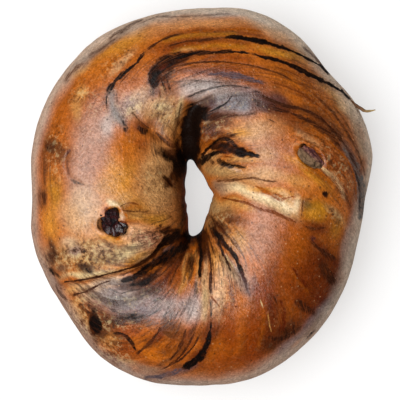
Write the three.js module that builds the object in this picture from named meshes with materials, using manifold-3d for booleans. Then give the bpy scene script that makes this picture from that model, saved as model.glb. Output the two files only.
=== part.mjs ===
// A hand-rolled cinnamon and raisin bagel, whole and uncut, lying on its flat base.
// Units are millimetres and degrees, +Z up. The ring is first shaped about the middle of its hole,
// and the finished group is then moved so that the base's centre is the origin.
import * as THREE from "three";
import { mergeVertices } from "three/addons/utils/BufferGeometryUtils.js";
import Module from "manifold-3d";

// ---- Driving dimensions of the ring ----

// Radii of the ring seen from above, every 15 degrees counterclockwise from +X: the rolled rope is
// uneven, so neither the rim nor the hole is a circle.
const RIM_RADII = [
  50.5, 54.3, 55.5, 55, 58, 59.3, 58, 58, 58.2, 57, 55.3, 53.3,
  51.5, 52.7, 53, 54.5, 57.4, 58.3, 57.2, 57.5, 55.8, 53.9, 51.6, 50,
];
const HOLE_RADII = [
  3.5, 4, 4, 4, 4.5, 6, 8.5, 11.5, 8.5, 6.5, 5, 4.5,
  4.5, 4.5, 4.5, 5.5, 7, 11.5, 10.5, 6.5, 5, 4, 3.5, 3.5,
];
const HEIGHT = 39.5; // crown above the table
const HEIGHT_SWELL = 0.9; // how much the crown rises and falls round the ring
const RIM_Z = 16.5; // height of the widest line of the outer side
const WAIST_Z = 19; // height of the narrowest line of the hole
const CROWN_SHARE = 0.45; // crown's place between hole, 0, and rim, 1
const CROWN_BLEND = 0.5; // cosine of the section angle up to which hole side and rim side melt together
const CROWN_ROUND = 0.03; // keeps the crown round where the powers would flatten it
const RIM_FULLNESS = 0.96; // exponents of the section's quarters: 1 is an ellipse, less is squarer
const HOLE_FULLNESS = 0.92;
const BASE_FULLNESS = 0.8;
const BASE_CUT = 1.08; // how far past the table the section would reach: that part is the flat base

// The rope is twisted, so its grain leaves the hole along a radius and bends clockwise on its way out.
const TWIST = 1.0; // radians from hole to rim
const TWIST_SWING = 0.4; // more on the far side (+Y), less on the near side
const TWIST_BEND = 1.5; // exponent of the bend: 1 turns evenly all the way out

const COLUMNS = 104; // grid lines of the skin along the grain
const CROWN_ROWS = 39; // grid lines round the section, above the rim
const BASE_ROWS = 12; // and below it
const CROWN_FROM = -18; // section angles between which the crown rows lie: 0 is the rim, 90 the crown
const CROWN_TO = 198;

// ---- Relief of the crust, seen from above the ring ----

// Swellings and hollows: [x, y, radius, height]
const LOBES = [
  [15, 15, 9, 0.8],
  [24, -16, 13, 1.2],
  [-27, 2, 14, 0.7],
  [-15, -31, 12, 0.5],
  [34, 13, 9, 1.3],
  [-11, 22, 7, -2.2],
  [-37, -16, 8, -0.5],
];

// The overlap where one end of the rope is laid over the other: the far side stands proud of this line.
const SEAM = [
  [-45.5, -27.8], [-43, -27], [-38, -25.9], [-30.5, -24.1], [-23.8, -22.3],
  [-17.7, -20], [-13.4, -17], [-9.8, -13.8], [-3, -12.5],
];
const SEAM_LIFT = 1.5; // lip above the seam
const SEAM_LIFT_FADE = 9; // distance over which the lip melts into the crust
const SEAM_DROP = 1.1; // tuck below it
const SEAM_DROP_FADE = 6;
const SEAM_WIDTH = 0.9; // half width of the step itself

const END_FADE = 8; // distance over which a seam or fold dies out at its ends
const RELIEF_FROM = -0.85; // sine of the section angle where the relief starts above the flat base
const RELIEF_FULL = -0.25; // and where it has its full depth
const LINE_STEPS = 6; // straight pieces of a line for each of its points

// Folds and stretch creases: {path, halfWidth, depth}
const FOLDS = [
  {
    path: [[6, 30.5], [0.6, 29.2], [-2.6, 26.6], [-3.9, 22], [-3.8, 17], [-2.6, 9]],
    halfWidth: 2.6,
    depth: 3.8,
  },
  { path: [[-22, -22.5], [-14, -18.5], [-9, -14.5], [-4, -12]], halfWidth: 2.6, depth: 2.8 },
  { path: [[3.5, 3], [12, 2.6], [20, 0.4], [26, -2.4], [31, -5.5]], halfWidth: 2.2, depth: 1.1 },
  { path: [[1, -8], [4.5, -14], [8.5, -18.5], [13, -25], [15, -32]], halfWidth: 1.7, depth: 1.0 },
  { path: [[0, -9], [2.3, -17], [3, -25], [3.3, -36]], halfWidth: 1.6, depth: 0.8 },
  { path: [[-3, -9], [-2.4, -18], [-2.6, -27]], halfWidth: 1.6, depth: 0.7 },
  { path: [[-17, 27], [-12, 18], [-7, 11], [-3, 8]], halfWidth: 1.8, depth: 0.9 },
  { path: [[-13, 10], [-8, 5], [-3, 2]], halfWidth: 1.8, depth: 0.8 },
  { path: [[1, 8], [2.5, 14], [8, 17.5], [17, 13.5]], halfWidth: 1.8, depth: 0.8 },
];

// ---- Fruit ----

// The raisins sit in pockets of the crust: place seen from above, half sizes along, across and up,
// turn of the long axis, depth of the middle below the crust.
const RAISINS = [
  { name: "raisin_left", at: [-26.2, -7.3], half: [4.9, 4.1, 3.2], turn: 130, sunk: 2.2, crumple: 0.16 },
  { name: "raisin_right", at: [33.4, 12.4], half: [5.1, 2.9, 2.8], turn: -38, sunk: 2.0, crumple: 0.09 },
];
// Waves that wrinkle a raisin's skin: [along, across, up, start], the first two multiplied together
const WRINKLES = [[5, 4, 0, 2], [0, 6, -3, 0], [5, 0, 7, 0]];
const RAISIN_AROUND = 22;
const RAISIN_ROWS = 11;
const POCKET_GAP = 0.35; // between a raisin or the stem and its pocket

// A dry raisin stem that pokes out of the rim: points along it and its radius at each.
const STEM_PATH = [
  [44.2, 30.2, 22.5], [46.6, 28.9, 22.3], [48.6, 27.6, 22.0],
  [50.4, 26.6, 21.6], [52.0, 26.6, 21.4], [53.5, 26.9, 21.4],
];
const STEM_RADII = [0.7, 0.65, 0.5, 0.55, 0.38, 0.16];
const STEM_SIDES = 7;
const STEM_STEPS = 10;

// ---- Shape of the ring ----

const radians = THREE.MathUtils.degToRad;
const smooth = (low, high, x) => THREE.MathUtils.smoothstep(x, low, high);

// A value at any angle from values at equal steps round the circle, by a closed Catmull-Rom curve.
function round(values, degrees) {
  const n = values.length;
  const place = (((degrees / 360) * n) % n + n) % n;
  const i = Math.floor(place);
  const f = place - i;
  const [a, b, c, d] = [-1, 0, 1, 2].map((k) => values[(i + k + n) % n]);
  return b + 0.5 * f * (c - a + f * (2 * a - 5 * b + 4 * c - d + f * (3 * (b - c) + d - a)));
}

// The plain ring's skin, before the relief, at a grain line (degrees) and a section angle (degrees).
function plainSkin(grain, section) {
  const c = Math.cos(radians(section));
  const s = Math.sin(radians(section));
  const outer = smooth(-CROWN_BLEND, CROWN_BLEND, c);
  const half = THREE.MathUtils.lerp(CROWN_SHARE, 1 - CROWN_SHARE, outer);
  const fullness = THREE.MathUtils.lerp(HOLE_FULLNESS, RIM_FULLNESS, outer);
  const bend = ((c * c + CROWN_ROUND) / (1 + CROWN_ROUND)) ** ((fullness - 1) / 2);
  const across = CROWN_SHARE + half * c * bend;
  const twist = TWIST + TWIST_SWING * Math.sin(radians(grain));
  const angle = radians(grain) - twist * across ** TWIST_BEND;
  const degrees = THREE.MathUtils.radToDeg(angle);
  const hole = round(HOLE_RADII, degrees);
  const radius = hole + (round(RIM_RADII, degrees) - hole) * across;
  const waist = THREE.MathUtils.lerp(WAIST_Z, RIM_Z, across);
  // The crown has two broad rises round the ring, and three slighter ones.
  const swell = Math.sin(2 * angle + 0.6) + 0.6 * Math.sin(3 * angle - 1.1);
  const crown = HEIGHT + HEIGHT_SWELL * swell;
  const z = s > 0
    ? waist + (crown - waist) * s ** fullness
    : waist * Math.max(0, 1 - BASE_CUT * Math.abs(s) ** BASE_FULLNESS);
  return new THREE.Vector3(radius * Math.cos(angle), radius * Math.sin(angle), z);
}

// A smooth line through [x, y] points, as a dense chain of points, and its length.
function smoothLine(path) {
  const curve = new THREE.CatmullRomCurve3(path.map(([x, y]) => new THREE.Vector3(x, y, 0)));
  return { chain: curve.getSpacedPoints(path.length * LINE_STEPS), length: curve.getLength() };
}

// Signed distance from a point to a line, positive on its left, and how much the line has faded there:
// it is 1 along the middle and falls smoothly to 0 over the last END_FADE at either end.
function besideLine({ chain, length }, x, y) {
  let best = { distance: Infinity, strength: 0 };
  const step = length / (chain.length - 1);
  for (let i = 0; i + 1 < chain.length; i++) {
    const [ax, ay] = [chain[i].x, chain[i].y];
    const [dx, dy] = [chain[i + 1].x - ax, chain[i + 1].y - ay];
    const t = THREE.MathUtils.clamp(((x - ax) * dx + (y - ay) * dy) / (dx * dx + dy * dy), 0, 1);
    const distance = Math.hypot(x - ax - t * dx, y - ay - t * dy);
    if (distance < Math.abs(best.distance)) {
      const side = dx * (y - ay) - dy * (x - ax) < 0 ? -1 : 1;
      const along = (i + t) * step;
      const strength = smooth(0, END_FADE, along) * smooth(0, END_FADE, length - along);
      best = { distance: side * distance, strength };
    }
  }
  return best;
}

const seamLine = smoothLine(SEAM);
const foldLines = FOLDS.map(({ path }) => smoothLine(path));

// Height of the relief at a place seen from above.
function relief(x, y) {
  let height = 0;
  for (const [lx, ly, r, h] of LOBES)
    height += h * Math.exp(-((x - lx) ** 2 + (y - ly) ** 2) / (r * r));
  const seam = besideLine(seamLine, x, y);
  const [size, reach] = seam.distance > 0 ? [SEAM_LIFT, SEAM_LIFT_FADE] : [SEAM_DROP, SEAM_DROP_FADE];
  const step = Math.tanh(seam.distance / SEAM_WIDTH);
  height += seam.strength * step * size * Math.exp(-Math.abs(seam.distance) / reach);
  FOLDS.forEach(({ halfWidth, depth }, i) => {
    const { distance, strength } = besideLine(foldLines[i], x, y);
    height -= depth * strength * Math.exp(-((distance / halfWidth) ** 2));
  });
  return height;
}

// The ring's skin as a closed grid: columns along the grain, rows round the section.
function ringSkin() {
  const rows = CROWN_ROWS + BASE_ROWS;
  const angleOf = (row) => row < CROWN_ROWS
    ? THREE.MathUtils.lerp(CROWN_FROM, CROWN_TO, row / CROWN_ROWS)
    : THREE.MathUtils.lerp(CROWN_TO, 360 + CROWN_FROM, (row - CROWN_ROWS) / BASE_ROWS);
  const points = [];
  for (let column = 0; column < COLUMNS; column++) {
    for (let row = 0; row < rows; row++) {
      const [grain, section] = [(360 * column) / COLUMNS, angleOf(row)];
      const point = plainSkin(grain, section);
      const alongGrain = plainSkin(grain, section + 1).sub(plainSkin(grain, section - 1));
      const acrossGrain = plainSkin(grain + 1, section).sub(plainSkin(grain - 1, section));
      const outward = acrossGrain.cross(alongGrain).normalize();
      const shown = smooth(RELIEF_FROM, RELIEF_FULL, Math.sin(radians(section)));
      points.push(point.addScaledVector(outward, shown * relief(point.x, point.y)));
    }
  }
  const index = [];
  for (let column = 0; column < COLUMNS; column++) {
    for (let row = 0; row < rows; row++) {
      const [a, d] = [column * rows + row, column * rows + ((row + 1) % rows)];
      const next = ((column + 1) % COLUMNS) * rows;
      const [b, c] = [next + row, next + ((row + 1) % rows)];
      // Each cell is split along its shorter diagonal.
      const straight = points[a].distanceTo(points[c]) < points[b].distanceTo(points[d]);
      index.push(...(straight ? [a, b, c, a, c, d] : [a, b, d, b, c, d]));
    }
  }
  return new THREE.BufferGeometry().setFromPoints(points).setIndex(index);
}

// The skin's point and outward direction nearest to a place seen from above, on the crown side.
function onCrust(skin, x, y) {
  skin.computeVertexNormals();
  const { position, normal } = skin.attributes;
  let best = { gap: Infinity };
  for (let i = 0; i < position.count; i++) {
    const gap = Math.hypot(position.getX(i) - x, position.getY(i) - y);
    if (position.getZ(i) > RIM_Z && gap < best.gap) best = { gap, i };
  }
  const out = new THREE.Vector3().fromBufferAttribute(normal, best.i);
  return { point: new THREE.Vector3(x, y, position.getZ(best.i)), out };
}

// ---- Shape of the fruit ----

// A crumpled raisin about the origin: an ellipsoid whose skin is drawn into ridges, grown by gap.
function raisinSkin({ half, crumple }, gap = 0) {
  const ball = new THREE.SphereGeometry(1, RAISIN_AROUND, RAISIN_ROWS);
  const { position } = ball.attributes;
  const point = new THREE.Vector3();
  for (let i = 0; i < position.count; i++) {
    point.fromBufferAttribute(position, i).normalize();
    const [a1, a2, a3] = WRINKLES.map(([x, y, z, start]) =>
      Math.sin(x * point.x + y * point.y + z * point.z + start));
    const size = 1 + crumple * (a1 * a2 + 0.6 * a3);
    const [a, b, c] = half.map((length) => length * size + gap);
    position.setXYZ(i, point.x * a, point.y * b, point.z * c);
  }
  return ball;
}

// A closed tube along a curve whose radius changes, grown by gap.
function taperedTube(path, radii, gap = 0) {
  const curve = new THREE.CatmullRomCurve3(path.map((p) => new THREE.Vector3(...p)));
  const { normals, binormals } = curve.computeFrenetFrames(STEM_STEPS);
  const radiusAt = new THREE.SplineCurve(radii.map((r, i) => new THREE.Vector2(i, r)));
  const points = [];
  for (let step = 0; step <= STEM_STEPS; step++) {
    const centre = curve.getPointAt(step / STEM_STEPS);
    const radius = radiusAt.getPoint(step / STEM_STEPS).y + gap;
    for (let side = 0; side < STEM_SIDES; side++) {
      const turn = (2 * Math.PI * side) / STEM_SIDES;
      points.push(centre.clone()
        .addScaledVector(normals[step], radius * Math.cos(turn))
        .addScaledVector(binormals[step], radius * Math.sin(turn)));
    }
  }
  const index = [];
  for (let step = 0; step < STEM_STEPS; step++) {
    for (let side = 0; side < STEM_SIDES; side++) {
      const [a, b] = [step * STEM_SIDES + side, step * STEM_SIDES + ((side + 1) % STEM_SIDES)];
      index.push(a, b, b + STEM_SIDES, a, b + STEM_SIDES, a + STEM_SIDES);
    }
  }
  const last = STEM_STEPS * STEM_SIDES;
  for (let side = 1; side + 1 < STEM_SIDES; side++) {
    index.push(0, side + 1, side);
    index.push(last, last + side, last + side + 1);
  }
  return new THREE.BufferGeometry().setFromPoints(points).setIndex(index);
}

// ---- Solids ----

const wasm = await Module();
wasm.setup();

function toSolid(geometry) {
  const plain = geometry.clone();
  plain.deleteAttribute("normal");
  plain.deleteAttribute("uv");
  const merged = mergeVertices(plain, 1e-3);
  const mesh = new wasm.Mesh({
    numProp: 3,
    vertProperties: new Float32Array(merged.attributes.position.array),
    triVerts: new Uint32Array(merged.index.array),
  });
  mesh.merge();
  return new wasm.Manifold(mesh);
}

function toGeometry(solid) {
  const mesh = solid.getMesh();
  return new THREE.BufferGeometry()
    .setAttribute("position", new THREE.BufferAttribute(mesh.vertProperties, 3))
    .setIndex(new THREE.BufferAttribute(mesh.triVerts, 1));
}

const crustMaterial = new THREE.MeshStandardMaterial({ color: "#bf7a35", roughness: 0.42, metalness: 0 });
const raisinMaterial = new THREE.MeshStandardMaterial({ color: "#2b1714", roughness: 0.35, metalness: 0 });
const filmedMaterial = new THREE.MeshStandardMaterial({ color: "#8a6f58", roughness: 0.6, metalness: 0 });
const stemMaterial = new THREE.MeshStandardMaterial({ color: "#8c7448", roughness: 0.8, metalness: 0 });

const ring = ringSkin();
let dough = toSolid(ring);
const pieces = new THREE.Group();

// Each raisin lies along the crust, sunk into a pocket of its own shape.
for (const raisin of RAISINS) {
  const { point, out } = onCrust(ring, ...raisin.at);
  const lie = new THREE.Quaternion().setFromUnitVectors(new THREE.Vector3(0, 0, 1), out);
  lie.multiply(new THREE.Quaternion().setFromAxisAngle(new THREE.Vector3(0, 0, 1), radians(raisin.turn)));
  const place = new THREE.Matrix4().compose(
    point.addScaledVector(out, -raisin.sunk), lie, new THREE.Vector3(1, 1, 1));
  dough = dough.subtract(toSolid(raisinSkin(raisin, POCKET_GAP).applyMatrix4(place)));
  const material = raisin.name === "raisin_left" ? raisinMaterial : filmedMaterial;
  const mesh = new THREE.Mesh(raisinSkin(raisin), material);
  mesh.name = raisin.name;
  mesh.applyMatrix4(place);
  pieces.add(mesh);
}

// The stem's inner end is held by the crust.
dough = dough.subtract(toSolid(taperedTube(STEM_PATH, STEM_RADII, POCKET_GAP)));
const stem = new THREE.Mesh(taperedTube(STEM_PATH, STEM_RADII), stemMaterial);
stem.name = "raisin_stem";
pieces.add(stem);

const bagel = new THREE.Mesh(toGeometry(dough), crustMaterial);
bagel.name = "bagel";
pieces.add(bagel);

// The base's centre becomes the origin.
const box = new THREE.Box3().setFromObject(pieces, true);
const middle = box.getCenter(new THREE.Vector3());
pieces.position.set(-middle.x, -middle.y, -box.min.z);

const group = new THREE.Group();
group.add(pieces);
export default group;
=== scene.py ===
import math

import bpy
import numpy as np
from mathutils import Matrix, Vector


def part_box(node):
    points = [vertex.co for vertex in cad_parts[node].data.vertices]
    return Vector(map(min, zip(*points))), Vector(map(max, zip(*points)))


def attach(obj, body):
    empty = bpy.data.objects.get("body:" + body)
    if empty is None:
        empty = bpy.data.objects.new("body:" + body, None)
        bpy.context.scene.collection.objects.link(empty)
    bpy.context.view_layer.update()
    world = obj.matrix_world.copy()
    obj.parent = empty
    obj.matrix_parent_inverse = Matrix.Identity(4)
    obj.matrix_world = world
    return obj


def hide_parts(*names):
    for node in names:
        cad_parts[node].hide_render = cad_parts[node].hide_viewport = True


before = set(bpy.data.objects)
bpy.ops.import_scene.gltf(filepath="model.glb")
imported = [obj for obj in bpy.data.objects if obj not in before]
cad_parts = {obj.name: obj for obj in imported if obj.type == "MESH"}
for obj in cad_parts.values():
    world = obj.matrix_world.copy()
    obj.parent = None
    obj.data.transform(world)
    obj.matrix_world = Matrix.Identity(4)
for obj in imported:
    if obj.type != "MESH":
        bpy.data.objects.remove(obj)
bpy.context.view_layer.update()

# ---- The ring of dough ------------------------------------------------------------------------------
# One rope of cinnamon and raisin dough, twisted as it was rolled, bent round until its ends overlap,
# then boiled and baked on a flat tray. The boiling gives it a glossy skin with fine blisters, and the
# cinnamon filling is drawn out into dark swirls along the twist.

# Lengths are in millimetres, from the middle of the hole: +X right, +Y to the far side, +Z up. The
# hand-rolled rope is uneven, so its rim and hole have a radius for every 15 degrees, counterclockwise
# from +X.
RIM_RADII = [
    50.5, 54.3, 55.5, 55, 58, 59.3, 58, 58, 58.2, 57, 55.3, 53.3,
    51.5, 52.7, 53, 54.5, 57.4, 58.3, 57.2, 57.5, 55.8, 53.9, 51.6, 50,
]
HOLE_RADII = [
    3.5, 4, 4, 4, 4.5, 6, 8.5, 11.5, 8.5, 6.5, 5, 4.5,
    4.5, 4.5, 4.5, 5.5, 7, 11.5, 10.5, 6.5, 5, 4, 3.5, 3.5,
]
HEIGHT = 39.5  # crown above the table
HEIGHT_SWELL = 0.9  # how much the crown rises and falls round the ring
SWELL_WAVES = [(2, 0.6, 1.0), (3, -1.1, 0.6)]  # waves in a round, angle they start at, share of the swell
RIM_Z = 16.5  # height of the widest line of the outer side
WAIST_Z = 19.0  # height of the narrowest line of the hole
CROWN_SHARE = 0.45  # crown's place between hole, 0, and rim, 1
RIM_FULLNESS = 0.96  # exponents of the section's quarters: 1 is an ellipse, less is squarer
HOLE_FULLNESS = 0.92
BASE_FULLNESS = 0.8
CROWN_BLEND = 0.5  # cosine of the section angle up to which hole side and rim side melt together
CROWN_ROUND = 0.03  # keeps the crown round where the powers would flatten it
BASE_CUT = 1.08  # how far past the table the section would reach: that part is the flat base
TWIST = 1.0  # radians that the rope's grain turns clockwise from hole to rim
TWIST_SWING = 0.4  # more on the far side, less on the near side
TWIST_BEND = 1.5  # exponent of the bend: 1 turns evenly all the way out

COLUMNS = 480  # grid lines along the grain
CROWN_ROWS = 166  # grid lines round the section above the rim
BASE_ROWS = 40  # and below it
CROWN_FROM, CROWN_TO = math.radians(-18), math.radians(198)


def through(a, b, c, d, f):
    """The share f of the way from b to c on the Catmull-Rom curve through a, b, c and d: a cubic in f
    whose slope at b is half of c - a, and at c half of d - b."""
    return b + 0.5 * f * (c - a + f * (2 * a - 5 * b + 4 * c - d + f * (3 * (b - c) + d - a)))


def round_the_ring(values, angle):
    """A value at any angle from values at equal steps round the circle: a closed Catmull-Rom curve."""
    place = np.mod(angle / (2 * np.pi), 1.0) * len(values)
    before = np.floor(place).astype(int)
    neighbours = (np.take(values, (before + k) % len(values)) for k in (-1, 0, 1, 2))
    return through(*neighbours, place - before)


def smoothstep(low, high, value):
    """0 below low, 1 above high, and 3t² - 2t³ between them."""
    t = np.clip((value - low) / (high - low), 0, 1)
    return t * t * (3 - 2 * t)


def bell(value):
    """1 at 0, falling as exp(-value²) on either side."""
    return np.exp(-(value**2))


def plain_skin(grain, section):
    """The smooth ring at a grain line and a section angle, 0 at the rim and 90 degrees at the crown.

    across runs from 0 at the hole to 1 at the rim as a power of the section angle's cosine, rounded
    off near the crown, where the hole side's values melt into the rim side's. The grain line's angle
    round the ring falls behind by the twist times a power of across. The radius lies between hole and
    rim by across. The height rises as a power of the sine from the waist to the crown, which swells in
    waves round the ring, and below the waist it falls until the table cuts it flat.
    """
    c, s = np.cos(section), np.sin(section)
    outer = smoothstep(-CROWN_BLEND, CROWN_BLEND, c)
    half = CROWN_SHARE + (1 - 2 * CROWN_SHARE) * outer
    fullness = HOLE_FULLNESS + (RIM_FULLNESS - HOLE_FULLNESS) * outer
    bend = ((c * c + CROWN_ROUND) / (1 + CROWN_ROUND)) ** ((fullness - 1) / 2)
    across = CROWN_SHARE + half * c * bend
    angle = grain - (TWIST + TWIST_SWING * np.sin(grain)) * across**TWIST_BEND
    hole = round_the_ring(HOLE_RADII, angle)
    radius = hole + (round_the_ring(RIM_RADII, angle) - hole) * across
    waist = WAIST_Z + (RIM_Z - WAIST_Z) * across
    swell = sum(share * np.sin(waves * angle + start) for waves, start, share in SWELL_WAVES)
    crown = HEIGHT + HEIGHT_SWELL * swell
    above = waist + (crown - waist) * np.abs(s) ** fullness
    below = waist * np.maximum(0, 1 - BASE_CUT * np.abs(s) ** BASE_FULLNESS)
    z = np.where(s > 0, above, below)
    return np.stack([radius * np.cos(angle), radius * np.sin(angle), z], -1), across, angle


def outward(points):
    """Unit normals of a grid of points that closes both ways: the cross product of the differences
    between the neighbours before and after each point, along the columns and along the rows."""
    along = np.roll(points, -1, 0) - np.roll(points, 1, 0)
    round_section = np.roll(points, -1, 1) - np.roll(points, 1, 1)
    normal = np.cross(along, round_section)
    return normal / np.linalg.norm(normal, axis=-1, keepdims=True)


def smooth_line(points, spacing=0.5):
    """A chain of points about `spacing` apart, on the Catmull-Rom curve through the given points."""
    p = np.array(points, float)
    p = np.vstack([2 * p[0] - p[1], p, 2 * p[-1] - p[-2]])
    chain = []
    for a, b, c, d in zip(p, p[1:], p[2:], p[3:]):
        count = max(2, int(np.linalg.norm(c - b) / spacing) + 1)
        f = np.linspace(0, 1, count, endpoint=False)[:, None]
        chain.append(through(a, b, c, d, f))
    return np.vstack([*chain, p[-2]])


def beside(line, place, reach):
    """For the places within about `reach` of a line: which they are, their signed distance from it,
    positive on its left, the share of its length at the nearest point, and its length. The straight
    pieces are tried one by one on all the places at once, and the nearest counts."""
    near = np.flatnonzero(np.all((place > line.min(0) - reach) & (place < line.max(0) + reach), axis=1))
    steps = np.diff(line, axis=0)
    lengths = np.hypot(*steps.T)
    before = np.concatenate([[0], np.cumsum(lengths)])
    gap, side, along = np.full(len(near), np.inf), np.ones(len(near)), np.zeros(len(near))
    for start, step, length, passed in zip(line, steps, lengths, before):
        offset = place[near] - start
        t = np.clip(offset @ step / length**2, 0, 1)
        distance = np.hypot(*(offset - t[:, None] * step).T)
        closer = distance < gap
        gap = np.where(closer, distance, gap)
        turned = np.where(step[0] * offset[:, 1] - step[1] * offset[:, 0] < 0, -1, 1)
        side = np.where(closer, turned, side)
        along = np.where(closer, passed + t * length, along)
    return near, gap * side, along / before[-1], before[-1]


def ends_fade(share, length, fade):
    """1 along a line of some length, falling to 0 over the distance `fade` before either end. share is
    the place along it, from 0 to 1."""
    return smoothstep(0, fade, share * length) * smoothstep(0, fade, (1 - share) * length)


LATTICE = 32  # random values along each side of the cube that repeats


def lumps(place, size, seed):
    """Smooth random lumps about `size` across, from -1 to 1: random values on a cubic lattice that
    repeats, and between its points a smoothstep blend of the eight nearest."""
    lattice = np.random.default_rng(seed).uniform(-1, 1, (LATTICE,) * 3)
    cell = place / size
    corner = np.floor(cell).astype(int)
    f = cell - corner
    f = f * f * (3 - 2 * f)
    total = np.zeros(len(place))
    for step in np.ndindex(2, 2, 2):
        weight = np.prod(np.where(step, f, 1 - f), axis=1)
        total += weight * lattice[tuple((corner + step).T % LATTICE)]
    return total


# Swellings and hollows of the crust: [x, y, radius, height]
LOBES = [
    [15, 15, 9, 0.8], [24, -16, 13, 1.2], [-27, 2, 14, 0.7], [-15, -31, 12, 0.5],
    [34, 13, 9, 1.3], [-11, 22, 7, -2.2], [-37, -16, 8, -0.5],
]
# The overlap where one end of the rope is laid over the other: the far side stands proud of this line.
SEAM = [
    [-45.5, -27.8], [-43, -27], [-38, -25.9], [-30.5, -24.1], [-23.8, -22.3],
    [-17.7, -20], [-13.4, -17], [-9.8, -13.8], [-3, -12.5],
]
SEAM_LIFT, SEAM_LIFT_FADE = 1.5, 9  # lip above the seam, and the distance over which it melts away
SEAM_DROP, SEAM_DROP_FADE = 1.1, 6  # tuck below it
SEAM_WIDTH = 0.9  # half width of the step itself
END_FADE = 8  # distance over which a seam or a deep fold dies out at its ends
CREASE_FADE = 3  # and a fine crease
SEAM_REACH = 40  # distance from the seam past which it isn't felt
GROOVE_REACH = 3.5  # and from a fold or a crease, in its half widths
RELIEF_FROM, RELIEF_FULL = -0.85, -0.25  # sines of the section angle between which the relief starts

# Deep folds and stretch creases: (path, half width, depth)
FOLDS = [
    ([[6, 30.5], [0.6, 29.2], [-2.6, 26.6], [-3.9, 22], [-3.8, 17], [-2.6, 9]], 2.6, 3.8),
    ([[-22, -22.5], [-14, -18.5], [-9, -14.5], [-4, -12]], 2.6, 2.8),
    ([[3.5, 3], [12, 2.6], [20, 0.4], [26, -2.4], [31, -5.5]], 2.2, 1.1),
    ([[1, -8], [4.5, -14], [8.5, -18.5], [13, -25], [15, -32]], 1.7, 1.0),
    ([[0, -9], [2.3, -17], [3, -25], [3.3, -36]], 1.6, 0.8),
    ([[-3, -9], [-2.4, -18], [-2.6, -27]], 1.6, 0.7),
    ([[-17, 27], [-12, 18], [-7, 11], [-3, 8]], 1.8, 0.9),
    ([[-13, 10], [-8, 5], [-3, 2]], 1.8, 0.8),
    ([[1, 8], [2.5, 14], [8, 17.5], [17, 13.5]], 1.8, 0.8),
]
# Fine creases: the same
CREASES = [
    ([[4, 5.3], [8, 5.2], [13, 5.4]], 0.6, 0.5),
    ([[-21, 27], [-15, 20.5], [-10.5, 17.5], [-6, 14]], 0.6, 0.45),
    ([[-10.5, 8], [-7.5, 3.5], [-6, 2]], 0.6, 0.35),
    ([[1, -10], [2.7, -16.5], [3.4, -23]], 0.5, 0.4),
    ([[0.3, -13], [0.4, -19], [0.4, -25]], 0.5, 0.5),
    ([[-3, -14], [-5, -18], [-6, -24]], 0.6, 0.4),
    ([[-1, -14], [-2.4, -18], [-3, -24]], 0.6, 0.4),
    ([[-39.5, 15.5], [-41, 10.5], [-39.5, 6.5], [-34, 3.5]], 0.5, 0.3),
    ([[4, 10.5], [8.5, 10], [14.5, 8]], 0.6, 0.5),
    ([[0.5, 11.5], [4.5, 16], [9, 15], [18, 12.5]], 1.0, 0.7),
]
LUMPS = [(11, 0.32), (4.5, 0.13), (2.2, 0.05)]  # unevenness of the skin: size and height of the lumps

# The two raisins that show: (x, y, half sizes along, across and up, turn of the long axis in degrees)
RAISINS = {
    "raisin_left": (-26.2, -7.3, (4.9, 4.1, 3.2), 130),
    "raisin_right": (33.4, 12.4, (5.1, 2.9, 2.8), -38),
}
# The pockets' openings: (radius every 15 degrees counterclockwise from +X, how far the crust dips in it,
# how far it swells round it). The left one is torn, and a flap of dough hangs over its right side.
OPENINGS = {
    "raisin_left": ([
        1.6, 1.0, 1.1, 2.0, 3.4, 4.4, 4.2, 3.9, 3.4, 2.6, 2.6, 3.8,
        4.2, 4.4, 4.4, 4.0, 3.8, 4.1, 4.3, 4.6, 4.8, 5.1, 5.0, 4.4,
    ], 3.4, 0.3),
    "raisin_right": ([3.4, 3, 2.8, 2.6, 2.6, 2.8, 3, 3.5, 4.1, 4.6, 4.6, 4] * 2, 1.0, 0.25),
}
DIP_EDGE, DIP_FLOOR = 1.12, 0.85  # where the dip starts and is full, in shares of the opening's radius
LIP_PLACE, LIP_WIDTH = 1.25, 0.2  # where the swelling round it is highest, and its half width
FLAP = (-23.2, -5.8, 2.4, 1.2)  # x, y, radius and height of the left opening's flap


def relief(place, upper):
    """Height of the relief at places seen from above. It is the sum of the lobes, each a Gaussian, the
    seam, a tanh step that fades on either side, the folds and creases, Gaussian grooves that fade at
    their ends, and the raisins' pockets, dips of uneven outline with a lip round them."""
    swellings = [*LOBES, FLAP]
    height = sum(h * np.exp(-((place - (x, y)) ** 2).sum(1) / r**2) for x, y, r, h in swellings)
    near, distance, share, length = beside(smooth_line(SEAM), place, SEAM_REACH)
    fade = ends_fade(share, length, END_FADE)
    size = np.where(distance > 0, SEAM_LIFT, SEAM_DROP)
    reach = np.where(distance > 0, SEAM_LIFT_FADE, SEAM_DROP_FADE)
    height[near] += fade * size * np.tanh(distance / SEAM_WIDTH) * np.exp(-np.abs(distance) / reach)
    for lines, end_fade in ((FOLDS, END_FADE), (CREASES, CREASE_FADE)):
        for path, half_width, depth in lines:
            reach = GROOVE_REACH * half_width
            near, distance, share, length = beside(smooth_line(path), place, reach)
            height[near] -= depth * ends_fade(share, length, end_fade) * bell(distance / half_width)
    for name, (radii, depth, lip) in OPENINGS.items():
        u, v = (place - RAISINS[name][:2]).T
        out = np.hypot(u, v) / round_the_ring(radii, np.arctan2(v, u))
        dip = depth * smoothstep(DIP_EDGE, DIP_FLOOR, out)
        height += upper * (lip * bell((out - LIP_PLACE) / LIP_WIDTH) - dip)
    return height


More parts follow.
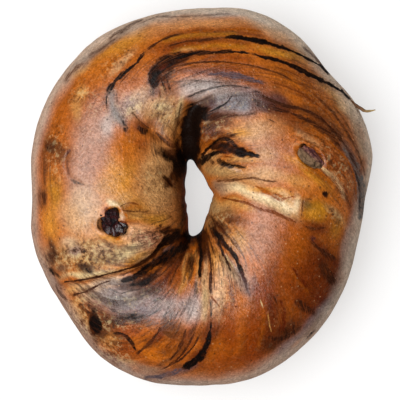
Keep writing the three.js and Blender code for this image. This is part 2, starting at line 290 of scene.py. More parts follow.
grain_lines = np.linspace(0, 2 * np.pi, COLUMNS, endpoint=False)
sections = np.concatenate([
    np.linspace(CROWN_FROM, CROWN_TO, CROWN_ROWS, endpoint=False),
    np.linspace(CROWN_TO, 2 * np.pi + CROWN_FROM, BASE_ROWS, endpoint=False),
])
ROWS = CROWN_ROWS + BASE_ROWS
grain_grid, section_grid = np.meshgrid(grain_lines, sections, indexing="ij")
skin, across, angle = plain_skin(grain_grid, section_grid)
normal = outward(skin)
shown = smoothstep(RELIEF_FROM, RELIEF_FULL, np.sin(section_grid)).ravel()
flat_skin = skin.reshape(-1, 3)
upper = smoothstep(RIM_Z, WAIST_Z, flat_skin[:, 2])
height = shown * relief(flat_skin[:, :2], upper)
for number, (size, depth) in enumerate(LUMPS):
    height += shown * depth * lumps(flat_skin, size, seed=number)
skin = flat_skin + height[:, None] * normal.reshape(-1, 3)
across, angle = across.ravel(), angle.ravel()

# The ring is moved so that its middle, seen from above, is the solid ring's.
low, high = (np.array(corner)[:2] * 1000 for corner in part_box("bagel"))
ring_middle = (low + high) / 2 - (skin[:, :2].min(0) + skin[:, :2].max(0)) / 2

corner = np.arange(COLUMNS * ROWS).reshape(COLUMNS, ROWS)
quads = np.stack([
    corner,
    np.roll(corner, -1, 0),
    np.roll(np.roll(corner, -1, 0), -1, 1),
    np.roll(corner, -1, 1),
], -1).reshape(-1, 4)


def make_piece(name, points, faces):
    """A smooth mesh object from points in millimetres from the hole's middle, and its faces."""
    mesh = bpy.data.meshes.new(name)
    moved = points + np.array([*ring_middle, 0])
    mesh.from_pydata((moved / 1000).tolist(), [], faces)
    mesh.polygons.foreach_set("use_smooth", np.ones(len(mesh.polygons), bool))
    piece = bpy.data.objects.new(name, mesh)
    bpy.context.scene.collection.objects.link(piece)
    return piece


crust = make_piece("crust", skin, quads.tolist())

# Colours of the crust, as sRGB. haze, lilac, pewter, steel and mauve are greys for painted sheen, and
# together with ash and taupe they also paint a reflection of the white surroundings on the rim
TONES = {
    "char": "0e0705", "cinnamon": "37190a", "umber": "582e11", "mahogany": "521803", "rust": "6c3006",
    "russet": "7c3202", "burnt": "964a06", "amber": "ac5a12", "gold": "ab7010", "marigold": "c2801e",
    "ochre": "a46c0a", "honey": "bc8644", "wheat": "a98250", "tan": "bb9064", "cream": "c4ac7c",
    "ivory": "dcc294", "rose": "945a3c", "olive": "62491f", "plum": "412424", "slate": "36322f",
    "ash": "7c6450", "base": "b18650", "tangerine": "b05c04", "blush": "a0745e", "lilac": "988278",
    "mauve": "655254", "pewter": "686460", "steel": "5c6470", "haze": "b4a49c", "apricot": "c8844a",
    "peach": "cf9c70", "stone": "8a7670", "taupe": "9c8070", "clay": "966c4e", "oat": "b69676",
    "sand": "cdb092", "buff": "e2b688", "biscuit": "c4945e", "dusk": "504248", "chalk": "e6d0b8",
}


def linear(hexadecimal):
    """A colour written as sRGB in linear light: the sRGB curve's inverse."""
    c = np.array([int(hexadecimal[i:i + 2], 16) for i in (0, 2, 4)]) / 255
    return np.where(c < 0.04045, c / 12.92, ((c + 0.055) / 1.055) ** 2.4)


# Where the oven and the dough itself coloured the crust, and where sheen, reflection and shade are painted on
# it: soft patches painted one over the other.
# (tone, x, y, half length, half width, turn in degrees, strength)
PATCHES = [
    # left arm
    ("rose", -34, 15, 16, 6, 92, 0.7),
    ("burnt", -42.3, 26, 11, 3, 75, 0.85),
    ("russet", -47.3, 24, 9, 1.6, 75, 0.6),
    ("russet", -47.8, 12, 9, 1.2, 90, 0.6),
    ("burnt", -45.2, 9.5, 4, 1.8, 95, 0.75),
    ("gold", -44, 1, 6, 2.5, 95, 0.8),
    ("marigold", -45.5, -8, 5, 2.5, 90, 0.6),
    ("tan", -37, -5.5, 6.5, 5.5, 90, 0.9),
    ("blush", -36, 12, 13, 4, 92, 0.7),
    ("marigold", -25, 6, 8, 5, 90, 0.8),
    ("tangerine", -22, 14.5, 5, 4, 90, 0.95),
    ("blush", -31, 21, 4, 7, 0, 0.8),
    # painted sheen
    ("haze", -28.6, 22, 2.2, 3.6, 0, 0.7),
    ("biscuit", -12.5, 5, 13, 7, 90, 0.85),
    ("gold", -19, -3, 4, 3, 0, 0.5),
    ("umber", -45, 15.5, 3, 2.2, -30, 0.75),
    ("umber", -42, 12.5, 2.5, 2, -40, 0.65),
    ("umber", -48, 0.5, 3.5, 1.2, 95, 0.7),
    ("cream", -25, -1.5, 3, 1, 0, 0.7),
    ("umber", -47, 8, 6, 0.8, 90, 0.5),
    # painted shade along the hole's left wall, over dark filling
    ("umber", -6.2, -2, 10, 1.5, 93, 0.6),
    ("cinnamon", -5.2, 0, 12, 0.9, 93, 0.7),
    ("blush", -37, 5, 5, 4, 0, 0.6),
    ("oat", -35.5, 0, 5, 4, 90, 0.7),
    ("honey", -29.5, 3, 4, 3, 90, 0.5),
    ("honey", -22.5, 0, 4, 2.4, 0, 0.7),
    ("burnt", -14.5, 19.5, 3, 2.4, 0, 0.7),
    ("umber", -10.5, 20, 2.6, 2.2, 0, 0.45),
    ("burnt", -18, 14.5, 2.4, 4, 0, 0.5),
    ("umber", -43, 11.5, 2.4, 3, 90, 0.4),
    ("tan", -31, -5, 2, 4, 0, 0.7),
    ("umber", -11, 9.5, 3.5, 1.6, 20, 0.5),
    # upper left; the lilac and mauve patches are painted sheen
    ("marigold", -23, 47, 11, 3, 33, 0.8),
    ("tangerine", -27.5, 40.5, 7, 3, 40, 0.9),
    ("tangerine", -34.5, 37, 4, 2, 35, 0.8),
    ("burnt", -33.5, 36, 2, 1, 35, 0.8),
    ("honey", -36.5, 32, 2.4, 1.6, 65, 0.8),
    ("honey", -37, 38.8, 4, 1, 38, 0.75),
    ("honey", -38, 27, 3, 1.6, 100, 0.6),
    ("tan", -24, 41, 5, 1.3, 45, 0.7),
    ("burnt", -21, 36, 4, 2, 50, 0.7),
    ("rose", -31.5, 28.5, 4, 3, 60, 0.5),
    ("lilac", -21, 28.5, 5, 4, 30, 0.85),
    ("cream", -20, 27.5, 3, 1.5, 30, 0.6),
    ("tan", -15, 27, 5, 4, 0, 0.7),
    ("wheat", -10, 25.5, 6, 5, 90, 0.85),
    ("cream", -11.5, 27.5, 3, 1.3, -15, 0.7),
    ("cream", -6, 27.5, 4, 0.9, 75, 0.7),
    ("umber", -13, 24.5, 1.5, 1.3, 0, 0.5),
    ("rose", -14, 22.5, 2.5, 1.5, 0, 0.6),
    ("mahogany", -18, 22, 2.5, 1.5, -30, 0.8),
    ("russet", -18, 17, 2.5, 2, 0, 0.6),
    ("lilac", -26, 25, 2.5, 3, 0, 0.8),
    ("oat", -18, 32, 3, 2.4, 0, 0.6),
    ("mauve", -14, 32.3, 2, 2, 0, 0.6),
    # top; in the pool over the hole the haze, pewter, steel and mauve patches are painted sheen over dark
    # filling
    ("apricot", -12, 51.5, 8, 2, 18, 0.6),
    ("apricot", 0, 53.7, 17, 1.9, 0, 0.95),
    ("burnt", 1, 50.3, 12, 1.3, 0, 0.8),
    ("amber", 18, 50.6, 5, 1.4, -15, 0.8),
    ("burnt", -2, 46.5, 15, 2.6, 3, 0.8),
    ("tangerine", 12, 46.3, 8, 1.6, -4, 0.8),
    ("russet", -6, 46.4, 10, 2.4, 8, 0.9),
    ("burnt", -14, 41.5, 4, 2, 50, 0.6),
    ("burnt", 9, 41.8, 14, 2.2, -5, 0.9),
    ("russet", 5, 38.4, 10, 1.8, -2, 0.8),
    ("haze", 0.5, 33.7, 6.5, 3, 3, 0.95),
    ("umber", -11, 34.2, 6, 3.4, -12, 0.5),
    ("pewter", 6, 33.6, 7, 1.2, 0, 0.8),
    ("pewter", 9, 29.5, 9, 4.5, 0, 0.9),
    ("steel", 11.5, 28, 4.5, 2.6, 10, 0.9),
    ("dusk", 4.5, 28.6, 4, 2, 20, 0.9),
    ("mauve", 16, 31.5, 6, 2.5, -20, 0.8),
    ("plum", 22, 28.3, 6, 2.4, -22, 0.9),
    ("mahogany", 24, 26, 9, 1.8, -18, 0.85),
    ("haze", -1, 31.8, 4.5, 1.8, 12, 0.9),
    ("slate", 0.8, 29.4, 3, 1.1, 20, 0.8),
    ("umber", -9, 31.3, 3, 1.2, 0, 0.5),
    ("cinnamon", 6.3, 24.2, 3.4, 2, 18, 0.9),
    ("cinnamon", 3.5, 22.4, 2.6, 3, 60, 0.85),
    ("tan", -4, 44.8, 3, 0.5, 3, 0.6),
    ("peach", 22.5, 51.8, 11, 2.6, -28, 0.98),
    ("marigold", 24, 44.3, 7, 1.2, -18, 0.8),
    ("apricot", 33.5, 41.5, 7, 2.2, -38, 0.9),
    ("marigold", 29, 43, 4, 1, -25, 0.7),
    ("amber", 22, 40.6, 6, 1.2, -15, 0.7),
    ("amber", 24.5, 38.4, 7, 1.6, -24, 0.9),
    ("amber", 32, 35.2, 7, 2, -38, 0.9),
    ("burnt", 33, 30.5, 8, 3.4, -40, 0.8),
    ("plum", 20, 34, 5, 2, -25, 0.5),
    ("plum", 23, 29.8, 5, 2, -28, 0.8),
    ("apricot", 38.5, 33, 5, 2.2, -40, 0.9),
    ("olive", 38, 35.2, 3, 0.8, -35, 0.5),
    ("honey", 42.5, 30, 6, 2.4, -52, 0.9),
    ("tangerine", 28.5, 36.5, 7, 2.2, -30, 0.9),
    ("tangerine", 17, 50.6, 4, 1.2, -10, 0.5),
    ("tangerine", 36, 31.6, 6, 2, -42, 0.75),
    ("tangerine", 39.5, 27.5, 4, 1.5, -50, 0.6),
    ("biscuit", 31.5, 44, 5, 1.5, -33, 0.8),
    ("buff", 44.2, 28, 4, 1.5, -55, 0.8),
    ("russet", 15, 35.5, 6, 1.2, -12, 0.5),
    ("plum", 17.5, 27, 4, 1.1, -8, 0.5),
    # right arm
    ("rust", 28, 22.6, 9, 1.8, -25, 0.9),
    ("tan", 16, 20.5, 8, 4, 5, 0.8),
    ("marigold", 11.5, 20.3, 3, 1.3, 0, 0.7),
    ("rose", 23, 13, 8, 5, 90, 0.6),
    ("amber", 30, 19, 5, 1.5, -30, 0.9),
    ("tan", 34, 17.5, 5, 1.0, -40, 0.5),
    ("marigold", 33, 7.8, 8, 1.5, -40, 0.8),
    ("honey", 29, 4.5, 5, 2, -10, 0.6),
    ("wheat", 7, 8, 7, 2.6, -8, 0.95),
    ("wheat", 3.5, 12.4, 3.5, 2, 20, 0.8),
    ("honey", 13, 11.4, 5, 1.2, 0, 0.9),
    ("rust", 3.2, 20.5, 4, 3.6, 60, 0.85),
    ("gold", 3, 22, 2, 1, 60, 0.6),
    ("russet", 41, 11, 7, 2.2, -58, 0.7),
    ("ivory", 12.5, 2.7, 6, 2.1, -6, 0.98),
    ("marigold", 21.5, 1.7, 7.5, 1.1, -13, 0.95),
    ("biscuit", 19, 6.6, 6.5, 2.8, 0, 0.8),
    ("tan", 20, 13.5, 4, 3, 0, 0.6),
    ("umber", 6.5, 22.3, 2.5, 1.5, 10, 0.6),
    # painted shade at the hole's right edge
    ("ash", 6, 3, 2.4, 1.6, 0, 0.7),
    ("ivory", 20.5, -1, 6.5, 1.5, -22, 0.95),
    ("ivory", 26.5, -3, 4.6, 2.2, -38, 0.98),
    ("ivory", 29.6, -3.5, 4, 1.4, 95, 0.95),
    ("honey", 26, -1.2, 3.5, 1, -30, 0.8),
    ("honey", 29.5, -5.9, 2, 1, -40, 0.7),
    ("ochre", 35, -4.2, 4.4, 3.9, 0, 0.98),
    ("gold", 36.5, -3, 3, 2, 0, 0.7),
    ("olive", 32.7, -1.8, 2.2, 1.5, -30, 0.9),
    ("marigold", 35.5, -5.4, 3.2, 1.6, 0, 0.7),
    ("mahogany", 35.5, -9, 5, 1.9, -4, 0.95),
    ("plum", 34.3, -12.2, 1.6, 1.2, -50, 0.8),
    ("wheat", 41.5, -5, 4, 1.3, -50, 0.7),
    ("gold", 41.5, -9.5, 3, 1.6, 70, 0.6),
    # lower right
    ("blush", 19, -11, 8, 6, 100, 0.6),
    ("burnt", 25, -9, 4, 5, 0, 0.5),
    ("wheat", 6, -3.6, 6, 3, -25, 0.9),
    ("honey", 11.5, -1.8, 6, 1.2, -10, 0.8),
    ("rust", 9.5, -6, 5, 2.6, -20, 0.85),
    ("honey", 11.5, -13, 4, 4, 0, 0.8),
    ("wheat", 5, -9.5, 4, 2.4, -50, 0.8),
    # painted sheen
    ("haze", 12.8, -25, 4, 1.6, -70, 0.8),
    ("mahogany", 16.4, -27, 5, 1.6, -75, 0.85),
    ("burnt", 30, -12, 6, 4.5, 90, 0.8),
    ("russet", 31, -23, 14, 10, 90, 0.95),
    ("mahogany", 41.5, -24, 15, 4.5, 68, 0.8),
    ("rust", 35, -22, 14, 6, 78, 0.6),
    ("mahogany", 34, -27, 12, 5, 78, 0.6),
    ("burnt", 28, -14, 6, 4, 90, 0.7),
    ("russet", 19.5, -29, 8, 3.4, 80, 0.9),
    ("rust", 22.5, -23.5, 6, 1.8, 78, 0.6),
    ("mahogany", 38.5, -17, 6, 1.3, -48, 0.7),
    ("mahogany", 38.8, -23.5, 7, 2, -65, 0.9),
    ("mahogany", 37.5, -31, 4, 1.6, -50, 0.7),
    ("mahogany", 33, -33.5, 4, 1.4, -35, 0.85),
    ("mahogany", 22, -35, 8, 4, 80, 0.85),
    ("mahogany", 17, -44, 7, 4, 60, 0.9),
    ("cinnamon", 22.5, -44, 5, 2.6, 35, 0.9),
    ("mahogany", 26, -40, 7, 3, 38, 0.75),
    ("russet", 16, -40, 8, 3, 85, 0.9),
    ("russet", 9, -41, 7, 4, 90, 0.9),
    ("russet", 15, -48.5, 5, 2, 15, 0.8),
    ("russet", 8, -50, 12, 4, 5, 0.8),
    # bottom; the haze, mauve and lilac patches are painted sheen, and the lilac along the rim is a painted
    # reflection
    ("honey", 5.5, -21, 7, 2, -72, 0.8),
    ("tan", 1.5, -24, 9, 1.1, 90, 0.9),
    ("tan", 6, -30, 5, 2.5, 82, 0.85),
    ("amber", 8, -26, 2.5, 1, 70, 0.8),
    ("cream", 8, -20, 4, 0.6, -55, 0.7),
    ("russet", -7, -20, 7, 4, 60, 0.85),
    ("haze", -2.5, -34, 5, 3.4, 85, 0.9),
    ("peach", 5, -28, 7, 3.4, 82, 0.9),
    ("oat", 10, -22, 5, 2.6, -60, 0.8),
    ("cream", 1.6, -32.5, 5, 1.1, 88, 0.7),
    ("mahogany", -14, -26, 6, 2.2, 15, 0.75),
    ("gold", -5, -25, 5, 0.9, 75, 0.5),
    ("mauve", -12, -32, 10, 4, 3, 0.9),
    ("mauve", -1, -27, 4, 0.8, 85, 0.6),
    ("cinnamon", -19.5, -38, 4.5, 1.3, -6, 0.9),
    ("umber", -27.5, -39, 4, 2.6, -10, 0.8),
    ("burnt", -18.5, -41.6, 4, 2.4, -20, 0.95),
    ("mahogany", -24.5, -42.5, 3, 2, -30, 0.8),
    ("russet", -22, -46.5, 6, 2.4, -30, 0.9),
    ("mahogany", -12.5, -42, 3.4, 2.4, 40, 0.9),
    ("burnt", -10.5, -46.8, 6, 3.2, 38, 0.95),
    ("tangerine", -14, -47.8, 3, 1.2, -15, 0.7),
    ("russet", -4, -43.5, 6, 2.2, 68, 0.85),
    ("mahogany", 2.8, -42.5, 8, 3, 76, 0.9),
    ("umber", -8, -40.5, 3.6, 2.4, -20, 0.85),
    ("burnt", -17, -50.2, 8, 1.8, -22, 0.8),
    ("clay", -24, -50.4, 4, 1.6, -35, 0.8),
    ("wheat", -23, -49.5, 3, 0.8, -30, 0.6),
    ("lilac", -8, -56.5, 10, 1.6, -4, 0.85),
    # below the seam on the left; the pewter and lilac patches are painted sheen, and the ash along the rim is
    # a painted reflection
    ("honey", -37, -27.7, 5, 1.3, 12, 0.9),
    ("honey", -35.5, -31.2, 4, 1.1, 18, 0.85),
    ("oat", -31.5, -28.5, 5, 2.6, 20, 0.85),
    ("tan", -28, -25.5, 6, 1.2, 14, 0.7),
    ("pewter", -24.5, -30.5, 9, 4.5, 8, 0.95),
    ("dusk", -19, -34.4, 8, 2, -4, 0.85),
    ("cinnamon", -16, -28.2, 5, 2, 15, 0.85),
    ("cinnamon", -23.5, -25.6, 3, 1.3, 15, 0.7),
    ("umber", -27, -37, 6, 2, 3, 0.85),
    ("wheat", -36.5, -37, 7, 2.2, -52, 0.8),
    ("umber", -34.5, -39.5, 4, 0.9, -52, 0.6),
    ("russet", -22.5, -40.5, 4, 1.8, -8, 0.8),
    ("honey", -27.5, -43.5, 3, 3, 0, 0.4),
    ("sand", -30, -25.8, 7, 1.7, 18, 0.9),
    ("stone", -25, -28.5, 5, 1.4, 10, 0.8),
    ("wheat", -34, -27.6, 3.5, 1, 20, 0.7),
    ("lilac", -9, -32.3, 5, 2.2, 5, 0.7),
    ("stone", -9.5, -36, 4, 1.6, 0, 0.85),
    ("cinnamon", -30, -40, 2.5, 3, 0, 0.7),
    ("mahogany", -1.5, -48.3, 3.5, 1.8, 50, 0.8),
    ("ash", -15, -52.2, 6, 1.3, -12, 0.7),
    ("umber", -5, -51.8, 3.5, 1.3, -15, 0.7),
    # above the seam
    ("wheat", -34, -17, 13, 5, 4, 0.9),
    ("olive", -27, -17.8, 6, 2, 8, 0.5),
    ("cream", -33, -22.8, 10, 0.9, 9, 0.95),
    ("amber", -38.5, -20.8, 4, 1, 5, 0.5),
    ("stone", -38, -16.3, 3, 1.8, 10, 0.8),
    ("slate", -42, -21.5, 2.2, 1.4, 20, 0.7),
    ("olive", -34.7, -21, 2.6, 1.3, 0, 0.85),
    ("plum", -45.8, -16.5, 5, 1.6, 100, 0.6),
    ("peach", -21, -10.8, 5, 2.6, 12, 0.95),
    ("blush", -16, -13.2, 5, 2.6, 12, 0.8),
    ("umber", -15.5, -13.5, 3, 1.2, 15, 0.5),
    ("tan", -16.5, -17.6, 3.6, 1.6, 28, 0.85),
    ("umber", -44.5, -18, 2.4, 2.2, 0, 0.85),
    ("cream", -21.5, -16, 5, 2.2, 20, 0.8),
    ("oat", -30, -16, 3.5, 1.5, 10, 0.5),
    ("oat", -40, -13.5, 3, 2, 0, 0.8),
    ("peach", -31, -10.5, 3.4, 1.6, 0, 0.7),
    ("marigold", -27, -12.3, 4.5, 1, -12, 0.7),
    ("oat", -23.6, -5.4, 1.6, 1.2, 60, 0.9),
    ("honey", -20, -5, 3, 1.6, 0, 0.8),
    ("ivory", -27, -1.2, 2, 0.9, -10, 0.9),
    ("gold", -14, -6.5, 4, 2, 0, 0.7),
    ("gold", -19.5, -18, 5, 1, 25, 0.6),
    # rim; the haze, ash, taupe and mauve patches are a painted reflection of the white surroundings on the
    # steep side
    ("haze", 5, 57, 15, 1.2, 0, 0.95),
    ("haze", 17.5, 55, 4, 1, -25, 0.8),
    ("ash", -30, 46, 12, 1.4, 38, 0.7),
    ("ash", -46.5, -24, 8, 2, -62, 0.6),
    ("taupe", 45.5, -12, 10, 1.6, 78, 0.8),
    ("mauve", 35.5, -36, 10, 1.8, 48, 0.85),
    ("mauve", 27, -45, 7, 1.8, 38, 0.85),
    ("plum", -44.5, -26.5, 6, 0.9, -55, 0.6),
]
# The cinnamon swirls and other drawn-out lines.
# (tone, strength, softness, half widths along the line, points)
SWIRLS = [
    # upper left rim
    ("cinnamon", 0.7, 0.5, (0.3, 0.6, 0.5, 0.3), [(-28.5, 47.8), (-26, 50), (-23, 51.5), (-20, 53.5),
     (-16.5, 54.8)]),
    ("umber", 0.6, 0.6, (0.3, 0.5, 0.5, 0.3), [(-35, 42.5), (-32, 44.5), (-29, 46.2), (-27, 47.8),
     (-24.5, 49.2)]),
    ("umber", 0.7, 0.5, (0.3, 0.6, 0.5, 0.3), [(-41.3, 34.5), (-40.6, 36.5), (-39, 38.5), (-37, 40.3),
     (-34.6, 41.5)]),
    ("cinnamon", 0.6, 0.5, (0.2, 0.35, 0.3, 0.2), [(-19, 53), (-15.5, 54.5), (-12, 55.5), (-8, 55.3),
     (-3, 55.4), (3, 55.9), (10, 56.3)]),
    # outermost swirl
    ("char", 0.95, 0.4, (0.4, 0.8, 0.8, 0.6, 0.4, 0.3), [(-28, 31), (-27.4, 33.4), (-25.5, 35.7),
     (-24, 37), (-22.4, 38.6), (-20.5, 40), (-19, 41.3), (-17.4, 43.5), (-16.3, 45)]),
    ("cinnamon", 0.85, 0.4, (0.3, 0.4, 0.35, 0.25), [(-16.6, 44.6), (-14.5, 46.3),
     (-12, 47.8), (-9, 49.2), (-5, 50.1)]),
    ("burnt", 0.75, 0.7, (0.2, 0.4, 0.4, 0.3), [(-5, 50.1), (0, 50.6), (5, 50.9), (9, 51.5),
     (15, 51.2), (20, 50.2)]),
    ("cinnamon", 0.7, 0.6, (0.2, 0.3, 0.2), [(-24.6, 33), (-24.2, 35), (-22.5, 37), (-20.8, 38.8)]),
    ("char", 0.75, 0.6, (0.3, 0.35, 0.25, 0.15), [(-28.1, 32.5), (-28.5, 30), (-28.3, 27.5), (-28, 25)]),
    ("char", 0.6, 0.6, (0.2, 0.3, 0.2), [(-25.4, 33), (-25.2, 30), (-25, 27)]),
    ("char", 0.8, 0.6, (0.3, 0.6, 0.6, 0.2), [(-24, 24.5), (-23.2, 22.8), (-22.6, 21), (-22, 18.8)]),
    ("slate", 0.6, 0.6, (0.3, 0.25), [(-21.8, 27.5), (-20, 26.3)]),
    # second swirl
    ("cinnamon", 0.8, 0.5, (0.25, 0.4, 0.4, 0.3), [(-10.5, 46), (-7, 46.9), (-3.5, 47.7), (0.5, 48),
     (4.5, 48.5), (8, 48.7)]),
    ("char", 0.97, 0.25, (0.3, 0.65, 0.6, 0.75, 0.65, 0.45, 0.4, 0.4, 0.35), [(6.5, 48.6), (10, 49),
     (13, 48.7), (16.5, 48.1), (20, 47.3), (24, 46.1), (27, 45.2), (30, 44), (33, 42.5), (36, 40.8),
     (38, 39.3), (40, 37.2)]),
    ("plum", 0.7, 0.5, (0.3, 0.5, 0.4), [(30.5, 46.6), (33, 44.8), (36, 42), (38.5, 39.8)]),
    # third swirl, which starts in a mottled hook
    ("char", 0.97, 0.6, (0.8, 1.6, 2.0, 2.0, 1.5, 1.0), [(-13.6, 33), (-13.8, 35.5),
     (-13.6, 38), (-12, 40), (-9.5, 41.6), (-7, 42.5), (-4, 43.4)]),
    ("char", 0.95, 0.4, (0.5, 0.7, 0.5, 0.4, 0.4), [(-8.5, 42.4), (-5.5, 43.2), (-1, 44), (3, 44.3),
     (8, 44.5), (12, 44.4), (16, 43.9)]),
    ("char", 0.95, 0.25, (0.4, 0.5, 0.5, 0.45, 0.6, 0.7, 0.6, 0.5, 0.4, 0.3), [(15.5, 44), (18.5, 43),
     (22, 42.3), (26, 41), (29, 39.8), (32, 38.2), (34.5, 37), (37, 35.8), (40, 34.3), (43, 32.8),
     (45, 31), (46.3, 29.3)]),
    ("mahogany", 0.6, 0.6, (0.5, 0.6, 0.4), [(-13, 38.5), (-11, 40), (-9, 41)]),
    ("char", 0.8, 0.5, (0.3, 0.45, 0.3), [(-12, 37.5), (-11.2, 34.5), (-10, 31.5)]),
    ("char", 0.7, 0.5, (0.25, 0.35, 0.2), [(-10.4, 38), (-9.7, 35), (-8.7, 31.5)]),
    ("char", 0.6, 0.5, (0.25, 0.3, 0.2), [(-13, 33.5), (-12, 31), (-12.3, 29)]),
    ("umber", 0.7, 0.5, (0.2, 0.3, 0.25, 0.2), [(26.5, 41.6), (28.8, 42), (31, 41), (33, 39.6)]),
    ("cinnamon", 0.8, 0.5, (0.4, 0.5, 0.3), [(34, 39.6), (34.7, 38.7), (35.2, 37.6)]),
    # fourth swirls
    ("cinnamon", 0.8, 0.45, (0.2, 0.3, 0.3, 0.25, 0.2), [(-9, 39.5), (-5, 40.5), (-1, 41.2), (4, 41.4),
     (8, 41.3), (13, 40.7), (17, 39.9), (21, 38.8), (25, 37.4), (28.5, 35.6)]),
    ("umber", 0.6, 0.5, (0.2, 0.3, 0.2), [(-8.5, 38.3), (-5, 39.2), (-1.5, 40), (3, 40.2)]),
    ("rust", 0.7, 0.5, (0.2, 0.3, 0.25, 0.2), [(20.5, 35.7), (24.5, 34.4), (28, 33.2), (32, 31.2),
     (36, 28.2), (39, 25.3), (41, 22.8)]),
    ("rust", 0.6, 0.5, (0.2, 0.25, 0.2), [(22, 40.3), (26, 39), (30, 37), (33.5, 34.6), (37, 31.5)]),
    ("rust", 0.6, 0.5, (0.2, 0.25, 0.2), [(29, 36), (33, 33), (36.5, 29.8), (39.5, 26)]),
    ("dusk", 0.95, 0.6, (0.3, 0.7, 0.9, 0.8, 0.6, 0.4), [(1.5, 37.4), (5.5, 37.6), (9, 37.3), (12.5, 36.8),
     (16, 35.8), (20, 34.7)]),
    ("slate", 0.6, 0.6, (0.2, 0.3, 0.2), [(-10.5, 35), (-6, 35.5), (-2, 35.7), (3, 35.4), (8, 35)]),
    # slate pool above the hole
    ("char", 0.7, 0.5, (0.3, 0.4, 0.35, 0.25), [(-4.5, 30.3), (-1, 31.8), (3, 33.2), (7, 34), (11, 34),
     (16, 33.2)]),
    ("char", 0.85, 0.4, (0.3, 0.3, 0.3, 0.2), [(2, 25.4), (4, 26.6), (6.3, 27.8), (8.5, 29.3), (9.7, 31),
     (10.6, 31.8)]),
    ("char", 0.6, 0.5, (0.15, 0.25, 0.2), [(9.7, 27), (11.5, 28.4), (13, 30)]),
    ("char", 0.6, 0.6, (0.4, 0.7, 0.5), [(15, 33), (18, 31.6), (20, 30.2)]),
    ("cinnamon", 0.7, 0.8, (0.6, 1.0, 0.9, 0.6, 0.3), [(2, 23), (5, 24.6), (8, 25), (12, 25),
     (15, 25.3), (18, 26)]),
    ("cinnamon", 0.85, 0.4, (0.3, 0.4, 0.5, 0.4, 0.3, 0.2), [(18, 31.5), (20.5, 30.2), (24, 28.8),
     (27, 27.7), (30, 27.3), (33, 26.3), (36, 24.8), (38.5, 22.7), (41, 20)]),
    ("char", 0.7, 0.6, (0.4, 0.8, 0.8, 0.5), [(21, 28.5), (24, 27), (26.5, 26.5), (29, 25.8)]),
    ("cinnamon", 0.8, 0.5, (0.2, 0.3, 0.2), [(19.5, 24.2), (22, 23.4), (24, 22.5)]),
    # swirls that run down the right rim; the pewter one is a painted reflection of the white surroundings on
    # the steep side
    ("cinnamon", 0.9, 0.6, (0.3, 0.7, 1.0, 0.9, 0.7, 0.5), [(27, 26), (31, 24.5), (34.5, 22.6),
     (38, 20.3), (41, 17.6), (43.5, 14.8)]),
    ("pewter", 0.85, 0.7, (0.4, 1.0, 1.4, 1.2, 0.7), [(43, 16), (46, 12.3), (47.9, 8.3), (49.1, 4),
     (49.4, 0), (49.3, -4), (49, -7.5)]),
    ("char", 0.7, 0.5, (0.2, 0.35, 0.3, 0.2), [(46.5, 10), (48.2, 5), (48.7, 0), (48.8, -5)]),
    ("cinnamon", 0.8, 0.5, (0.3, 0.5, 0.6, 0.5, 0.3), [(33, 26), (37, 23.5), (41, 20), (44, 16.3),
     (46.5, 12), (48.3, 8)]),
    ("cinnamon", 0.7, 0.5, (0.2, 0.4, 0.4, 0.3), [(35.5, 31), (39, 27.6), (42, 24), (45, 19.5),
     (47.5, 15), (49.5, 10), (50.5, 6)]),
    ("umber", 0.6, 0.5, (0.2, 0.3, 0.2), [(40, 28.5), (43, 25), (46, 20), (48.5, 14)]),
    ("burnt", 0.8, 0.5, (0.2, 0.3, 0.3, 0.2), [(38, 18), (41.5, 15), (44.7, 11.5), (46.6, 7.5),
     (47.4, 3), (47.6, -2)]),
    ("tan", 0.7, 0.8, (0.3, 1.0, 0.9, 0.5), [(36.5, 9.5), (39, 7.4), (41, 5.4), (43, 2.5), (44, -1)]),
    ("umber", 0.7, 0.5, (0.2, 0.3, 0.2), [(43.5, 2.5), (44.7, 0), (46.5, -3.5)]),
    # leaf beside the hole
    ("char", 0.98, 0.3, (0.5, 0.6, 0.8, 0.9, 1.3, 1.5, 1.2, 1.0, 0.6, 0.2), [(0.3, 12), (2, 14.5),
     (3.8, 15.6), (6, 15.6), (8.5, 15.2), (10.5, 14.6), (12.5, 14), (15, 13.4), (17, 12.8), (18.8, 12.2)]),
    ("char", 0.9, 0.45, (0.3, 0.5, 0.6, 0.9, 0.8), [(3, 15.8), (5, 17), (7, 18), (8.8, 17.6),
     (10.3, 16.3), (12, 15)]),
    ("char", 0.92, 0.3, (1.0, 0.9, 0.7, 0.6, 0.3), [(-0.5, 9.5), (1, 11.6), (2.5, 12.8), (4.2, 13.6),
     (6.5, 13.9), (9, 13.6)]),
    ("char", 0.9, 0.45, (0.5, 0.7, 0.7, 0.5, 0.25), [(5.3, 12.8), (5.8, 11.4), (7.3, 10.4), (9.5, 9.9),
     (12, 9.6), (14.5, 8.8)]),
    ("cinnamon", 0.8, 0.5, (0.3, 0.5, 0.3), [(3, 12.5), (3.6, 11), (5, 10)]),
    ("rust", 0.85, 0.5, (0.25, 0.4, 0.25), [(6.5, 12.4), (8.5, 12.5), (11, 12.2)]),
    ("cinnamon", 0.6, 0.6, (0.3, 0.4, 0.3), [(1, 17), (2.5, 18.5), (5, 19.7), (8, 19.8)]),
    ("umber", 0.7, 0.6, (0.3, 0.4, 0.3), [(0, 15), (1, 17.5), (2.5, 20), (4, 22)]),
    # creases and bands to the right of the hole
    ("umber", 0.85, 0.45, (0.3, 0.4, 0.35, 0.2), [(4, 4.8), (6, 5.2), (9, 5.2), (12, 5.6), (16, 6),
     (20, 5.2), (24, 4.9)]),
    ("burnt", 0.8, 0.6, (0.3, 0.6, 0.5, 0.3), [(16, 4), (18.5, 2.8), (21, 1.6), (23.5, 0.8), (26, 0.2)]),
    ("russet", 0.7, 0.6, (0.2, 0.5, 0.4, 0.2), [(21, 1.2), (24, -0.5), (27, 0.2), (30, 0.4)]),
    ("rust", 0.85, 0.4, (0.2, 0.3, 0.4, 0.4, 0.3), [(6, 0.3), (10, -0.6), (14, -1.4), (18, -3.2),
